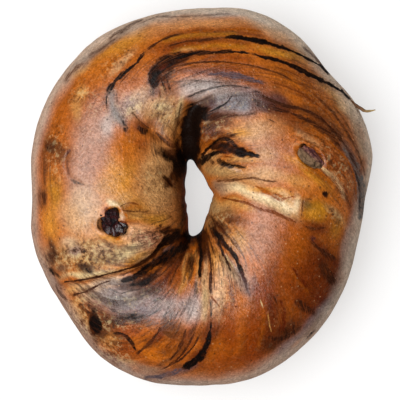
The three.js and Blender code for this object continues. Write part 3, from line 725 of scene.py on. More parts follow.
     (22, -4.2), (26, -6), (30, -7.6)]),
    ("umber", 0.8, 0.4, (0.15, 0.25, 0.2, 0.15), [(31.5, 0.2), (31.2, -1.8), (31, -4.2), (30.6, -6.4)]),
    ("umber", 0.75, 0.4, (0.3, 0.4, 0.3), [(31.4, -0.2), (33, -0.4), (35, -0.1)]),
    ("char", 0.95, 0.3, (0.5, 0.75, 0.5), [(37.3, 2), (38.5, 1.4), (39.7, 1)]),
    ("umber", 0.8, 0.4, (0.2, 0.35, 0.2), [(34, 3.8), (34.8, 3.4), (35.4, 3)]),
    ("slate", 0.8, 0.4, (0.2, 0.45, 0.2), [(36, -5.2), (36.2, -4.8), (36.5, -4.4)]),
    ("umber", 0.7, 0.5, (0.2, 0.4, 0.2), [(38.5, -3.8), (39.5, -4), (40.5, -4.6)]),
    ("cinnamon", 0.7, 0.6, (0.4, 0.8, 0.6, 0.3), [(31, -8.2), (33, -9), (36, -9.3), (39, -8.8)]),
    ("plum", 0.8, 0.5, (0.5, 1.0, 0.7), [(33.5, -11), (34.2, -12.2), (35.4, -13.4)]),
    # lower right
    ("cinnamon", 0.8, 0.7, (0.4, 0.9, 0.9, 0.5), [(33, -12.5), (35.5, -15), (38.5, -16.8), (42, -19.5)]),
    ("cinnamon", 0.9, 0.7, (0.6, 1.3, 1.3, 0.7), [(36, -19.5), (38.4, -22), (39.9, -24.6), (41.4, -27)]),
    ("cinnamon", 0.9, 0.7, (0.4, 1.2, 1.3, 0.6), [(28.5, -30.5), (31, -32.5), (33, -34), (35.5, -36)]),
    ("mahogany", 0.8, 0.7, (0.4, 0.8, 0.8, 0.4), [(24, -30), (25.5, -34), (25.5, -38), (24, -42)]),
    ("mahogany", 0.7, 0.7, (0.4, 0.8, 0.6, 0.3), [(27, -20), (30, -24), (33, -27.5), (35, -30)]),
    ("cinnamon", 0.7, 0.5, (0.2, 0.4, 0.2), [(22, -29), (23, -31), (23.6, -33)]),
    ("char", 0.6, 0.6, (0.5, 1.2, 0.8, 0.4), [(20, -42), (24, -43), (28, -41.5), (31, -39)]),
    ("cream", 0.6, 0.4, (0.1, 0.2, 0.15), [(18, -30), (19, -33), (19.5, -34)]),
    ("honey", 0.6, 0.4, (0.1, 0.2, 0.15), [(20.5, -34), (21, -38), (22, -41.5)]),
    ("char", 0.8, 0.5, (0.2, 0.4, 0.3), [(32, -43.5), (33.8, -41.5), (35.3, -39.5)]),
    # painted reflection on the steep side at the rim
    ("ash", 0.5, 0.5, (0.5, 0.7, 0.4), [(31, -43), (35, -38.5), (38, -34.5)]),
    # below the hole
    ("char", 0.95, 0.35, (0.5, 0.5, 0.5, 0.3), [(-0.3, -13), (0.4, -16), (0.3, -19), (0, -22), (-0.2, -25)]),
    ("cinnamon", 0.9, 0.35, (0.5, 0.4, 0.4, 0.35, 0.3), [(1.2, -9.5), (1.8, -12.5), (2.6, -15.5),
     (3.1, -18.5), (3.4, -22), (3.2, -26), (3.4, -30)]),
    ("char", 0.95, 0.3, (0.6, 0.8, 1.1, 0.9, 0.6, 0.5, 0.4, 0.3), [(3.4, -8), (4.8, -10.2), (6, -12.2),
     (7.4, -14), (9, -15.8), (10.6, -18), (11.8, -20.5), (12.8, -23), (13.8, -26), (14.6, -29)]),
    ("char", 0.85, 0.35, (0.4, 0.5, 0.5, 0.3), [(5, -12.5), (6.3, -15), (7.3, -17.5), (8.6, -20),
     (9.6, -23)]),
    ("cinnamon", 0.8, 0.4, (0.3, 0.3, 0.25), [(2.2, -10), (3, -13), (4, -16), (4.7, -18)]),
    ("cinnamon", 0.7, 0.5, (0.3, 0.35, 0.2), [(5.5, -8.5), (8, -11), (10, -13.5), (12, -16.5)]),
    ("cream", 0.8, 0.5, (0.25, 0.5, 0.45, 0.25), [(7.5, -16.5), (8.5, -18.5), (9.8, -20.5), (10.5, -22)]),
    ("plum", 0.7, 0.6, (0.3, 0.6, 0.7, 0.4), [(12, -21.5), (13.4, -24.5), (14.8, -28), (15.6, -31)]),
    ("char", 0.9, 0.4, (0.25, 0.4, 0.25), [(11.8, -27), (12.2, -27.6), (12, -28.2)]),
    ("cinnamon", 0.8, 0.5, (0.4, 0.6, 0.6, 0.4), [(4, -6.5), (5, -8), (6.5, -9), (8, -10)]),
    ("umber", 0.7, 0.6, (0.6, 0.9, 0.6), [(7, -5.2), (9, -6), (9.8, -8)]),
    ("char", 0.7, 0.5, (0.5, 0.7, 0.5, 0.3), [(-2.2, -17), (-2.6, -20), (-2.2, -23)]),
    ("cinnamon", 0.7, 0.5, (0.3, 0.5, 0.4, 0.3), [(-4, -15), (-5.6, -18.5), (-7.6, -22.5), (-9.5, -27)]),
    ("cinnamon", 0.7, 0.5, (0.3, 0.4, 0.3), [(-5, -15), (-8, -19), (-11, -22.5), (-15, -25.5)]),
    ("cinnamon", 0.6, 0.5, (0.2, 0.3, 0.2), [(-3, -18), (-4.2, -22), (-5.2, -27)]),
    ("slate", 0.7, 0.6, (0.4, 0.8, 0.6), [(-1.2, -24.5), (-1.2, -28), (-2, -31)]),
    ("umber", 0.8, 0.5, (0.15, 0.4, 0.15), [(-3.4, -34.5), (-3.9, -35.6), (-4.1, -36.8)]),
    ("char", 0.8, 0.4, (0.2, 0.4, 0.2), [(-2, -31.5), (-1.9, -32.5)]),
    ("umber", 0.8, 0.5, (0.25, 0.5, 0.25), [(2.4, -35.5), (2.6, -36.6), (2.2, -37.6)]),
    ("rust", 0.8, 0.4, (0.15, 0.25, 0.25, 0.2), [(2.7, -29), (4.2, -31), (5.6, -32.5), (6.6, -33.8)]),
    ("slate", 0.8, 0.5, (0.2, 0.35, 0.3), [(3.3, -30.5), (3.3, -34), (3.4, -37)]),
    ("burnt", 0.7, 0.5, (0.3, 0.6, 0.4), [(6.5, -33.5), (8.5, -33.8), (9.5, -32.8)]),
    ("mahogany", 0.8, 0.4, (0.25, 0.5, 0.3), [(9.8, -32.6), (11, -33), (12, -33.8)]),
    ("umber", 0.5, 0.5, (0.2, 0.3, 0.2), [(8.5, -34.5), (9.5, -36.8), (11.8, -36.5)]),
    # the great sweep at the bottom
    ("char", 0.97, 0.3, (0.25, 0.4, 0.6, 0.9, 1.3, 1.2, 0.9, 0.4), [(3.4, -37),
     (3.4, -38.8), (3, -41), (2.3, -43.5), (1.2, -46), (-0.5, -48.6), (-3, -50.7), (-6, -52.2)]),
    ("dusk", 0.8, 0.6, (0.4, 0.8, 0.9, 0.7, 0.4), [(-4.5, -51.8), (-8, -53.2), (-11.5, -54.2),
     (-15, -54.8), (-18, -55)]),
    ("cinnamon", 0.85, 0.4, (0.25, 0.35, 0.3, 0.2), [(-12, -52.4), (-9, -50.8), (-6.4, -48.6),
     (-4.3, -46), (-2.6, -43), (-1.2, -40)]),
    ("cinnamon", 0.85, 0.4, (0.2, 0.4, 0.35, 0.2), [(-9.4, -51), (-6, -49.2), (-3.4, -46.8),
     (-1.4, -44.2), (0.2, -41)]),
    ("cinnamon", 0.8, 0.45, (0.3, 0.5, 0.5, 0.3), [(-9.8, -49.8), (-7.6, -47.6), (-6, -45),
     (-4.8, -42), (-4, -39)]),
    ("cinnamon", 0.85, 0.4, (0.5, 0.45, 0.5, 0.4, 0.3), [(-20, -48), (-18, -46.4), (-16, -44.8),
     (-14.3, -43), (-12.7, -40.8), (-11.8, -38.5)]),
    ("char", 0.85, 0.4, (0.3, 0.45, 0.45, 0.4, 0.3), [(-27, -42), (-25.5, -41.2), (-23.6, -41.4),
     (-22, -42.6), (-20.7, -44), (-19.8, -45.8), (-19.2, -47.2)]),
    ("umber", 0.8, 0.5, (0.3, 0.6, 0.6, 0.4), [(-11.5, -40), (-10, -41.4), (-8.2, -42.2), (-7, -41)]),
    ("umber", 0.6, 0.5, (0.2, 0.3, 0.2), [(-29, -43), (-28, -45), (-25, -46)]),
    ("umber", 0.6, 0.5, (0.2, 0.4, 0.3), [(-29, -46.6), (-26, -47.8), (-23.5, -49.5)]),
    ("umber", 0.6, 0.5, (0.2, 0.4, 0.3), [(-27.5, -49), (-25.5, -50.6), (-24, -51.8)]),
    ("cinnamon", 0.6, 0.5, (0.3, 0.45, 0.3), [(-14, -50.6), (-12.2, -51), (-10.8, -51.8)]),
    # seam and what lies along it; the dark lines on the seam's step and in the fold beside it are partly
    # painted shade, partly filling
    ("char", 0.97, 0.35, (0.5, 0.9, 1.3, 1.6, 1.8), [(-15.2, -18.2), (-12.8, -15.6), (-10.2, -13.2),
     (-7.5, -11.6), (-5, -11.5)]),
    ("char", 0.95, 0.45, (0.9, 1.2, 1.4, 1.4, 1.2), [(-21, -24.4), (-18, -22.8), (-15, -21),
     (-12, -19), (-9, -17), (-6, -15), (-3, -13.5)]),
    ("cinnamon", 0.95, 0.35, (0.2, 0.25, 0.3, 0.3, 0.45, 0.6), [(-42.2, -26.4), (-40.6, -25.5), (-37, -25.1),
     (-33, -24.4), (-30, -23.6), (-26.5, -22.7), (-23.5, -21.9), (-20.5, -21), (-17.5, -19.6),
     (-15, -18), (-13, -16.4)]),
    ("cinnamon", 0.8, 0.5, (0.3, 0.5, 0.4, 0.3), [(-25, -23.8), (-21, -22.4), (-18, -21), (-15.5, -19.4)]),
    ("char", 0.85, 0.4, (0.4, 0.6, 0.5, 0.3), [(-46.2, -20.5), (-45, -22.3), (-43.6, -23.6), (-42, -25)]),
    ("cinnamon", 0.9, 0.4, (0.35, 0.4, 0.3, 0.25, 0.2, 0.15), [(-39.6, -30), (-37.6, -29.3), (-35.5, -28.8),
     (-33.4, -27.8), (-31.4, -26.7), (-29, -25.6), (-26.5, -25)]),
    ("cinnamon", 0.8, 0.4, (0.4, 0.5, 0.3), [(-42.2, -26.5), (-42.3, -27.6), (-41.2, -27.9)]),
    ("cinnamon", 0.7, 0.5, (0.3, 0.5, 0.4), [(-44.2, -25.5), (-43.4, -28), (-42, -30), (-40, -32)]),
    ("umber", 0.7, 0.5, (0.2, 0.4, 0.2), [(-36.7, -36.5), (-36, -38), (-35.3, -39.8)]),
    ("char", 0.8, 0.5, (0.3, 0.6, 0.3), [(-36.8, -34), (-35.6, -34.6), (-34.6, -34)]),
    ("char", 0.95, 0.35, (1.0, 1.4, 1.5, 1.2, 0.8), [(-32.3, -34.5), (-32, -36.5), (-31.8, -38.5),
     (-31.2, -40.5), (-30.4, -42)]),
    # left arm
    ("plum", 0.75, 0.5, (0.3, 0.5, 0.3), [(-39, 15.6), (-40, 14), (-41.2, 12.4)]),
    ("plum", 0.6, 0.6, (0.3, 0.5, 0.4, 0.3), [(-40.3, 12.5), (-40.4, 10), (-40, 7.6), (-39.2, 6)]),
    ("slate", 0.75, 0.5, (0.3, 0.45, 0.4, 0.25), [(-39.6, 6.4), (-38.3, 5), (-36.5, 4.4), (-34.5, 3.8)]),
    ("umber", 0.6, 0.6, (0.3, 0.6, 0.5, 0.3), [(-46.6, 19), (-47.5, 14), (-47.5, 8), (-47.2, 3)]),
    ("cinnamon", 0.75, 0.6, (0.5, 0.9, 0.9, 0.5), [(-48.6, 2.5), (-47.8, 1), (-47.4, -1), (-47, -3)]),
    ("umber", 0.6, 0.6, (0.3, 0.5, 0.4, 0.3), [(-49.3, 3), (-49, -1), (-47.5, -4)]),
    ("umber", 0.6, 0.5, (0.2, 0.3, 0.2), [(-43, -5.5), (-41.4, -6.8), (-40, -7.7)]),
    ("cinnamon", 0.8, 0.5, (0.25, 0.4, 0.3), [(-35.6, 29.8), (-35.1, 29.2)]),
    ("char", 0.85, 0.5, (0.4, 0.8, 0.9, 0.5), [(-19.4, 22.4), (-18, 21), (-17, 20.2), (-15.6, 19)]),
    ("cinnamon", 0.7, 0.5, (0.2, 0.3, 0.3, 0.2), [(-21.3, 27), (-19, 24.3), (-17, 22.4), (-14.6, 20.6)]),
    ("cinnamon", 0.8, 0.5, (0.3, 0.5, 0.5, 0.45), [(-14.5, 20.6), (-12, 18.6), (-9.6, 16.4), (-6.5, 15.3)]),
    ("umber", 0.7, 0.5, (0.3, 0.4, 0.3), [(-11, 19.5), (-8.5, 16.8), (-5.5, 15)]),
    ("umber", 0.6, 0.6, (0.4, 0.8, 0.6), [(-11.5, 15.5), (-9, 14.3), (-6.5, 13.5)]),
    ("cinnamon", 0.8, 0.4, (0.3, 0.5, 0.5, 0.3), [(-11.5, 7.5), (-10, 5.5), (-8.8, 4.2), (-7.5, 3)]),
    ("umber", 0.6, 0.5, (0.2, 0.4, 0.3), [(-9.6, 8.5), (-8.2, 6.5), (-6.8, 4.5)]),
    ("umber", 0.7, 0.5, (0.2, 0.5, 0.3), [(-18.6, 3), (-17.6, 2.6), (-16.7, 2.4)]),
    ("rust", 0.85, 0.5, (0.3, 0.5, 0.3), [(-13.2, -4.3), (-12.4, -4.8), (-11.9, -5.6)]),
    ("cinnamon", 0.8, 0.5, (0.3, 0.5, 0.3), [(-11.8, -7), (-11.9, -8.6), (-12.6, -10)]),
    ("umber", 0.7, 0.5, (0.2, 0.5, 0.3), [(-10.3, -5.5), (-9, -5.7), (-7.5, -5.5)]),
    ("char", 0.8, 0.5, (0.5, 0.7, 0.6, 0.4), [(-13, -10.3), (-11, -10.2), (-8.5, -9.8), (-6, -9.5)]),
    # torn edges round the left raisin
    ("cinnamon", 0.8, 0.5, (0.2, 0.35, 0.35, 0.2), [(-30, -5.6), (-30.9, -7), (-30.9, -8.8), (-29.6, -10.4)]),
    ("mahogany", 0.9, 0.4, (0.3, 0.45, 0.5, 0.3), [(-25.4, -6.8), (-24, -7.4), (-22.6, -8), (-21.8, -9.4)]),
    ("amber", 0.8, 0.5, (0.3, 0.4, 0.3), [(-23.8, -4), (-22.5, -5), (-21.9, -6.6)]),
    ("rust", 0.95, 0.4, (0.2, 0.6, 0.7, 0.5), [(-29.2, -2.2), (-28.6, -3.2), (-28, -4.2), (-27.6, -5.4)]),
    ("tangerine", 0.8, 0.5, (0.3, 0.7, 0.3), [(-26.5, -12.4), (-25, -12.3), (-23.2, -12)]),
    ("burnt", 0.5, 0.7, (0.4, 0.9, 0.9, 0.5), [(-23.5, -2.8), (-21.5, -2.3), (-19, -2.8), (-16.5, -3.3)]),
    ("umber", 0.8, 0.5, (0.2, 0.25, 0.2), [(-25, -3), (-23, -1.9), (-21, -1.5), (-19, -1.9), (-18, -2.5)]),
    ("umber", 0.8, 0.5, (0.2, 0.25, 0.2), [(-24.6, -3.4), (-22, -3.9), (-19, -4.2), (-16.5, -4.2),
     (-14.6, -3.7)]),
    # crevice and rims of the right raisin; the black line in the crevice is painted shade
    ("char", 0.95, 0.4, (0.3, 0.5, 0.4, 0.2), [(29.8, 15.2), (30.6, 15.9), (32, 16), (33.2, 15.6)]),
    ("mahogany", 0.6, 0.7, (0.2, 0.5, 0.6, 0.3), [(33, 16), (35, 14.6), (36.8, 12.8), (37.8, 11)]),
    ("burnt", 0.8, 0.8, (0.3, 0.8, 1.1, 1.1, 0.8, 0.4), [(29.2, 11.5), (31, 10), (33, 8.6), (36, 7),
     (39, 5), (41, 3.5)]),
    ("cream", 0.8, 0.6, (0.2, 0.55, 0.5, 0.2), [(36.3, 9.6), (38.2, 8), (39.8, 6.6), (41.4, 4.8)]),
    # above the hole, left of the valley
    ("umber", 0.7, 0.5, (0.2, 0.5, 0.3), [(-12.3, 27.8), (-10.3, 26.9), (-8.8, 26.6)]),
    ("cinnamon", 0.7, 0.5, (0.2, 0.35, 0.3), [(-5.4, 29.8), (-6, 27), (-6.6, 24), (-6.4, 21)]),
    ("umber", 0.6, 0.5, (0.2, 0.35, 0.3), [(-8.2, 30), (-7.6, 27), (-7.2, 24), (-7.3, 21)]),
    ("umber", 0.6, 0.5, (0.2, 0.35, 0.3), [(-9.7, 22.5), (-8.4, 20.5), (-7.4, 18)]),
    ("slate", 0.6, 0.6, (0.5, 0.9, 0.5), [(-15, 34), (-14.2, 32), (-14, 30)]),
]
# Stains of cinnamon that lie over the crust in ragged pools, and painted shade: in the valley above the hole,
# in the fold by the seam, along the hole's left wall and under the seam's step they are partly shade painted
# dark. (x, y, half length, half width, turn, depth)
STAINS_AND_SHADE = [
    # painted shade over dark filling in the valley above the hole
    (-0.6, 26, 3.6, 3.2, 30, 1.2),
    (3.4, 25.2, 3.2, 1.6, 30, 0.85),
    (-14, 37, 3.6, 1.8, 85, 1.3),
    (-10.8, 40.3, 4, 1.8, 32, 1.3),
    (-6, 42.4, 3.6, 1.1, 14, 1.0),
    (38.6, 1.4, 1.0, 0.55, -25, 1.4),
    # painted shade over dark filling in the valley above the hole
    (-2.3, 18.3, 10, 3.2, 88, 1.5),
    (-0.6, 24.6, 4.2, 2.2, 50, 1.0),
    (8, 29.5, 11, 3.5, 5, 0.35),
    (3, 24.5, 4, 1.5, 25, 0.8),
    (20, 28, 7, 2, -20, 0.5),
    # painted shadow under the seam's step
    (-21.5, -24, 3.5, 1.1, 17, 1.0),
    (9, 14.6, 6, 1.7, -12, 0.8),
    # painted shade over dark filling in the fold beside the seam
    (-8, -16.5, 7, 3, 35, 0.95),
    (-6.5, -14.3, 6, 2.5, 38, 1.1),
    (0.5, -13, 6, 2, 92, 0.9),
    (4.5, -11, 4, 1.4, -50, 0.65),
    (-45.6, -16.5, 5, 1.6, 100, 0.55),
    (-38, -16, 4.5, 3, 20, 0.25),
    (-34.5, -21, 4, 1.6, 0, 0.62),
    (-30, -17.5, 7, 3, 0, 0.25),
    (-22, -33.5, 9, 3, 5, 0.3),
    (-20, -36.5, 9, 1.8, -8, 0.55),
    (-32, -37.5, 5, 2, 90, 0.9),
    (-17, -24, 7, 2.5, 22, 0.7),
    (-31, -42, 3, 4, 0, 0.5),
    (-35, -34, 3, 1.5, -30, 0.5),
    (-11.5, 38.5, 4, 4, 0, 0.6),
    (38, -22, 2.5, 6, 20, 0.45),
    (26, -41, 6, 3, 30, 0.5),
    # painted shade over dark filling along the hole's left wall
    (-6.5, 11, 7, 2.6, 95, 0.9),
    (-5, -6, 6, 1.0, 93, 0.6),
    (-8.5, 13.5, 5, 2.2, -10, 0.9),
    (-9, 6, 4, 1.6, 60, 0.7),
    (3, 21.5, 3, 3, 0, 0.6),
    (7.5, 19, 4, 1.5, 0, 0.5),
    (-45, 15, 3.5, 2.5, -30, 0.4),
    (-10, -9.5, 4, 1.5, 5, 0.6),
    (5.5, -8.5, 3.5, 2, -40, 0.6),
    (-9.5, -38.5, 5, 2.5, 0, 0.4),
]
# Soft bands of colour that follow the twist, painted over the patches: (tone, strength, half width,
# points)
BANDS = [
    # deep brown and bright bands between the swirls at the top
    ("rust", 0.7, 0.8, [(-12, 46), (-7, 47), (-2, 47.8), (4, 48.2), (9, 47.6), (16, 46.8)]),
    ("mahogany", 0.6, 0.6, [(-10, 49.3), (-3, 50.4), (4, 50.6), (12, 50.2), (20, 49.2)]),
    ("gold", 0.6, 0.7, [(-12, 48), (-5, 49.2), (3, 49.6), (12, 50)]),
    ("gold", 0.5, 0.7, [(-10, 44.3), (-3, 45.6), (6, 46.2), (15, 45.8)]),
    ("russet", 0.6, 0.9, [(0, 42.7), (8, 42.8), (16, 42)]),
    ("rust", 0.4, 0.8, [(16, 40), (22, 39), (28, 36.5), (33, 33.5), (37, 30), (40, 26.5), (42, 23.5)]),
    ("mahogany", 0.25, 0.7, [(18, 36.8), (24, 35), (30, 32), (35, 28.5), (39, 24.5)]),
    ("burnt", 0.6, 0.8, [(24, 40), (30, 37.5), (35, 34.5), (39, 31), (42, 27.5)]),
    ("wheat", 0.5, 0.9, [(36, 38.5), (40, 35.8), (43, 33.3)]),
    ("plum", 0.5, 1.2, [(-9, 38.5), (-4, 39), (2, 38.6), (8, 38.2)]),
    ("slate", 0.5, 1.0, [(-7, 33.5), (-1, 35), (6, 35.4), (12, 34.9)]),
    # blue grey ribbon that the outer swirl ends in: dark filling greyed by a painted sheen
    ("pewter", 0.85, 1.6, [(-26.2, 35), (-27, 31.5), (-26.8, 28), (-25, 25), (-23.3, 22.5), (-22.3, 20)]),
    # rim at the upper left
    ("slate", 0.6, 0.8, [(-39.5, 38), (-36, 41.5), (-31, 45), (-26, 48.3), (-21, 51.3), (-15, 54)]),
    ("umber", 0.6, 0.6, [(-41.5, 34.5), (-40, 37.5), (-37.5, 40.2), (-34.5, 42.2)]),
    ("honey", 0.5, 0.7, [(-34, 44.5), (-29, 48), (-23, 52), (-17, 55)]),
    # right rim; the pewter band is a painted reflection of the white surroundings on the steep side
    ("cinnamon", 0.6, 1.4, [(24, 28.5), (29, 27), (33, 25.5), (38, 22), (42, 18)]),
    ("pewter", 0.8, 1.6, [(42, 18), (45, 14), (47, 10), (48.6, 5), (49, 0), (49, -5)]),
    ("umber", 0.7, 1.6, [(30, 28.5), (36, 25), (41, 21), (44.5, 16.5)]),
    ("oat", 0.8, 1.6, [(44, 28.5), (47, 23.5), (49, 18), (50.5, 11)]),
    ("burnt", 0.8, 0.8, [(34, 20.5), (38.5, 18), (42, 15), (45, 11), (47, 6), (47.6, 1)]),
    ("tan", 0.6, 0.5, [(36, 10.5), (38.5, 8), (41, 5.5), (43, 2.5), (44.5, -1)]),
    ("russet", 0.6, 1.2, [(43, 5), (45, 0), (46, -5), (46, -10)]),
    # streaks of the lower right
    ("mahogany", 0.6, 0.7, [(33, -12), (36, -15), (39, -17.5), (42, -19.5)]),
    ("burnt", 0.5, 0.7, [(24, -16), (27, -21), (30, -25), (34, -29)]),
    ("mahogany", 0.5, 0.8, [(28, -31), (31, -33), (34, -35), (36, -36.5)]),
    ("mahogany", 0.5, 0.7, [(20.5, -28), (21.5, -33), (22, -38), (21, -43)]),
    ("burnt", 0.5, 0.6, [(18, -30), (19, -35), (19, -40), (18, -46)]),
    # rays below the hole; the char band along the seam's fold is partly painted shade
    ("char", 0.8, 0.8, [(-4, -13), (-8, -15), (-12, -18), (-16, -21), (-21, -24)]),
    ("mahogany", 0.7, 0.8, [(-3, -14), (-6, -18), (-9, -23), (-11, -28)]),
    ("olive", 0.7, 0.7, [(-2.2, -16), (-2.8, -20), (-3.2, -25)]),
    ("honey", 0.6, 0.5, [(-3.6, -16), (-4.4, -20), (-5.5, -25), (-6.3, -29)]),
    ("honey", 0.6, 0.45, [(-1.2, -15), (-1, -20), (-0.6, -25), (-0.6, -30)]),
    ("tan", 0.7, 0.9, [(1.6, -30), (1.3, -34), (0.6, -38)]),
    ("plum", 0.5, 0.7, [(9, -19), (11.5, -22.5), (13.4, -26), (14.9, -30)]),
    # bottom
    ("umber", 0.7, 0.8, [(-1.5, -39), (-4, -44), (-8, -48.5), (-13, -51.5)]),
    ("rust", 0.7, 0.8, [(-6, -40), (-8.5, -44), (-12, -48)]),
    ("dusk", 0.6, 0.8, [(0, -50), (-5, -52.5), (-11, -54), (-18, -54.8)]),
    ("slate", 0.6, 0.8, [(-29, -47), (-25, -50.5), (-20, -53.2)]),
    ("burnt", 0.6, 1.2, [(5, -42), (4, -47), (1, -51.5)]),
    # seam and its surroundings
    ("tan", 0.6, 0.5, [(-41, -26.8), (-36, -26.2), (-30, -24.8), (-24, -23.4)]),
    ("slate", 0.6, 0.6, [(-37, -29), (-33, -27.8), (-29, -26.2), (-25, -25)]),
    ("umber", 0.6, 0.8, [(-47.5, -19), (-46, -22.5), (-43.5, -26), (-42.5, -30), (-40, -33)]),
]
# Where the filling lies so thin that it only streaks the crust: (x, y, half length, half width, turn,
# strength from 0 to 1)
MARBLING = [
    (3, 38, 26, 8, -4, 0.7),
    (30, 36, 18, 6, -35, 0.6),
    (-20, -32, 24, 16, -20, 1.0),
    (-9, 16, 12, 18, 0, 0.6),
    (5, -20, 14, 14, 0, 1.0),
    (-12, -12, 14, 10, 0, 0.9),
    (8, 14, 10, 10, 0, 0.8),
    (40, 15, 10, 20, 20, 0.8),
    (24, -33, 9, 8, 60, 0.5),
    (-44, 12, 6, 18, 0, 0.4),
]
PLAIN_MARBLING = 0.12  # and everywhere else
# Where the crust is floury and blistered, and so mottled light and dark: (x, y, half length, half width,
# turn, strength from 0 to 1)
MOTTLING = [
    (-34, -17.5, 14, 5, 5, 1.0),
    (-16, -12.5, 6, 3, 15, 0.9),
    (-33, -36, 8, 5, -50, 0.9),
    (-26, -37.5, 8, 2.5, 0, 0.9),
    (-27, -46, 7, 5, -35, 0.8),
    (-20, -31, 12, 4, 5, 0.4),
    (-12.5, 36.5, 5, 4, 80, 0.9),
    (4, 21, 6, 4, 30, 0.9),
    (9, 28, 8, 4, 10, 0.5),
    (7, -7, 5, 3.5, -40, 0.9),
    (42, 10, 11, 4, -60, 0.7),
    (41, -5.5, 4, 1.6, -50, 0.8),
    (33, 16, 6, 3, -40, 0.6),
    (-25, 41, 7, 2.5, 40, 0.7),
    (-21, 28, 5, 4, 30, 0.8),
    (-11, 26, 5, 5, 0, 0.7),
    (-36.5, 32, 5, 3, 60, 0.7),
    (-44, 14, 9, 3, 95, 0.7),
    (-13, 5, 7, 6, 0, 0.5),
    (-31, 29, 5, 5, 0, 0.5),
    (7, -30, 7, 5, 80, 0.6),
    (36, 31, 10, 4, -42, 0.3),
]
PLAIN_MOTTLING = 0.08  # and everywhere else
# Where the crust is floury or wrinkled and so less glossy: (x, y, half length, half width, turn, share)
MATT = [
    (-2.3, 21, 14, 4, 88, 0.95),
    (-30, -16, 19, 7.5, 5, 0.85),
    (11, 21, 7, 4, 0, 0.85),
    (24, 4, 12, 4, -8, 0.6),
    (6, -22, 5, 11, 0, 0.6),
    (-12, 4, 8, 14, 0, 0.6),
    (-36, -38, 12, 4, -52, 0.9),
    (-42, 26, 16, 4, 70, 0.8),
    (40, -20, 22, 5, 65, 0.7),
    (6, -46, 14, 10, 0, 0.9),
    (-14, -44, 14, 6.5, -8, 0.95),
    (-2, -41, 10, 3, 0, 0.6),
    (18, -42, 12, 7, 0, 0.8),
    (30, -24, 18, 12, 80, 0.85),
    (-14, 42, 16, 7, 20, 0.7),
    (4, 43, 18, 5, -4, 0.6),
    (27, 24, 12, 6, -20, 0.6),
    (8, 14, 12, 4.5, -10, 0.85),
    (31, 11, 8, 7, -30, 0.6),
    (-20, 15, 6, 7, 0, 0.7),
    (-17, -26, 9, 5, 18, 0.8),
    (-9, 33, 5, 6, 0, 0.7),
    (5, 24, 5, 3.5, 30, 0.9),
    (17, -9, 9, 5, -10, 0.3),
]
# The sides turn paler and greyer towards the rim, and are palest on the far right: partly because they
# browned less than the crown, partly as a painted reflection of the white table and room on the steep side
RIM_REFLECTION_PALEST, RIM_REFLECTION_BROWNEST = "chalk", "taupe"
RIM_REFLECTION_PALEST_AT = 45  # degrees counterclockwise from +X
RIM_PALENESS_AND_REFLECTION = 0.85
RIM_REFLECTION_FROM, RIM_REFLECTION_FULL = 30, 23  # heights between which the rim turns pale
BASE_PALENESS = 0.8
BASE_PALE_FROM, BASE_PALE_FULL = 12, 3  # heights between which it turns to the tone of the flat base
OUTER_FROM, OUTER_FULL = 0.5, 0.7  # shares of the way from hole to rim between which the outer side starts
WARP, WARP_SIZE = 1.1, 5  # how far the patches' edges wander, and over what distance
BAND_REACH = 2.5  # distance from a band past which it isn't felt, in its half widths
LINE_REACH = 2  # how far past a line's edge its colour is worked out
LINE_FADE = 1.5  # distance over which a line dies out at its ends
LAYERS = 6  # lines that lie closer together than LINE_ROOM go to different layers
LINE_ROOM = 1
FAR = 9.0  # distance written where no line is near
THIN = 0.3  # and the half width and softness there

# Seen from above, colour below the rim's widest line is looked up further out by the drop below it.
drop = np.maximum(0, RIM_Z - skin[:, 2]) * smoothstep(OUTER_FROM, OUTER_FULL, across)
direction = np.stack([np.cos(angle), np.sin(angle)], -1)
place = skin[:, :2] + drop[:, None] * direction
wander = WARP * np.stack([lumps(skin, WARP_SIZE, seed=11), lumps(skin, WARP_SIZE, seed=12)], -1)


def spot(x, y, half_length, half_width, turn):
    """How much of a soft elliptical patch reaches each place: exp(-d³), where d is 1 on its outline."""
    a = math.radians(turn)
    turned = np.array([[math.cos(a), -math.sin(a)], [math.sin(a), math.cos(a)]])
    along, aside = ((place + wander - (x, y)) @ turned).T
    return np.exp(-(np.hypot(along / half_length, aside / half_width) ** 3))


def strongest(spots, plain=0.0):
    """The largest of the spots' strengths at each place, and the plain value between them."""
    strength = np.full(len(skin), plain)
    for *outline, most in spots:
        strength = np.maximum(strength, most * spot(*outline))
    return strength


tone = np.tile(linear(TONES["amber"]), (len(skin), 1))
for name, *outline, strength in PATCHES:
    share = (strength * spot(*outline))[:, None]
    tone += share * (linear(TONES[name]) - tone)
for name, strength, half_width, points in BANDS:
    line = smooth_line(points, 1.0)
    near, distance, share, length = beside(line, place + wander / 2, BAND_REACH * half_width)
    share = strength * ends_fade(share, length, 2 * half_width) * bell(distance / half_width)
    tone[near] += share[:, None] * (linear(TONES[name]) - tone[near])
# The rim's painted reflection of the white surroundings, over sides that browned less
reflection_palest, reflection_brownest = linear(TONES[RIM_REFLECTION_PALEST]), linear(TONES[RIM_REFLECTION_BROWNEST])
towards_reflection_palest = (1 + np.cos(angle - math.radians(RIM_REFLECTION_PALEST_AT))) / 2
rim_pale_and_reflection_tones = reflection_brownest + towards_reflection_palest[:, None] * (reflection_palest - reflection_brownest)
rim_pale_and_reflection_share = RIM_PALENESS_AND_REFLECTION * smoothstep(RIM_REFLECTION_FROM, RIM_REFLECTION_FULL, skin[:, 2] + wander[:, 0])
rim_pale_and_reflection_share *= across > OUTER_FULL
tone += rim_pale_and_reflection_share[:, None] * (rim_pale_and_reflection_tones - tone)
base_share = BASE_PALENESS * smoothstep(BASE_PALE_FROM, BASE_PALE_FULL, skin[:, 2])
tone += base_share[:, None] * (linear(TONES["base"]) - tone)

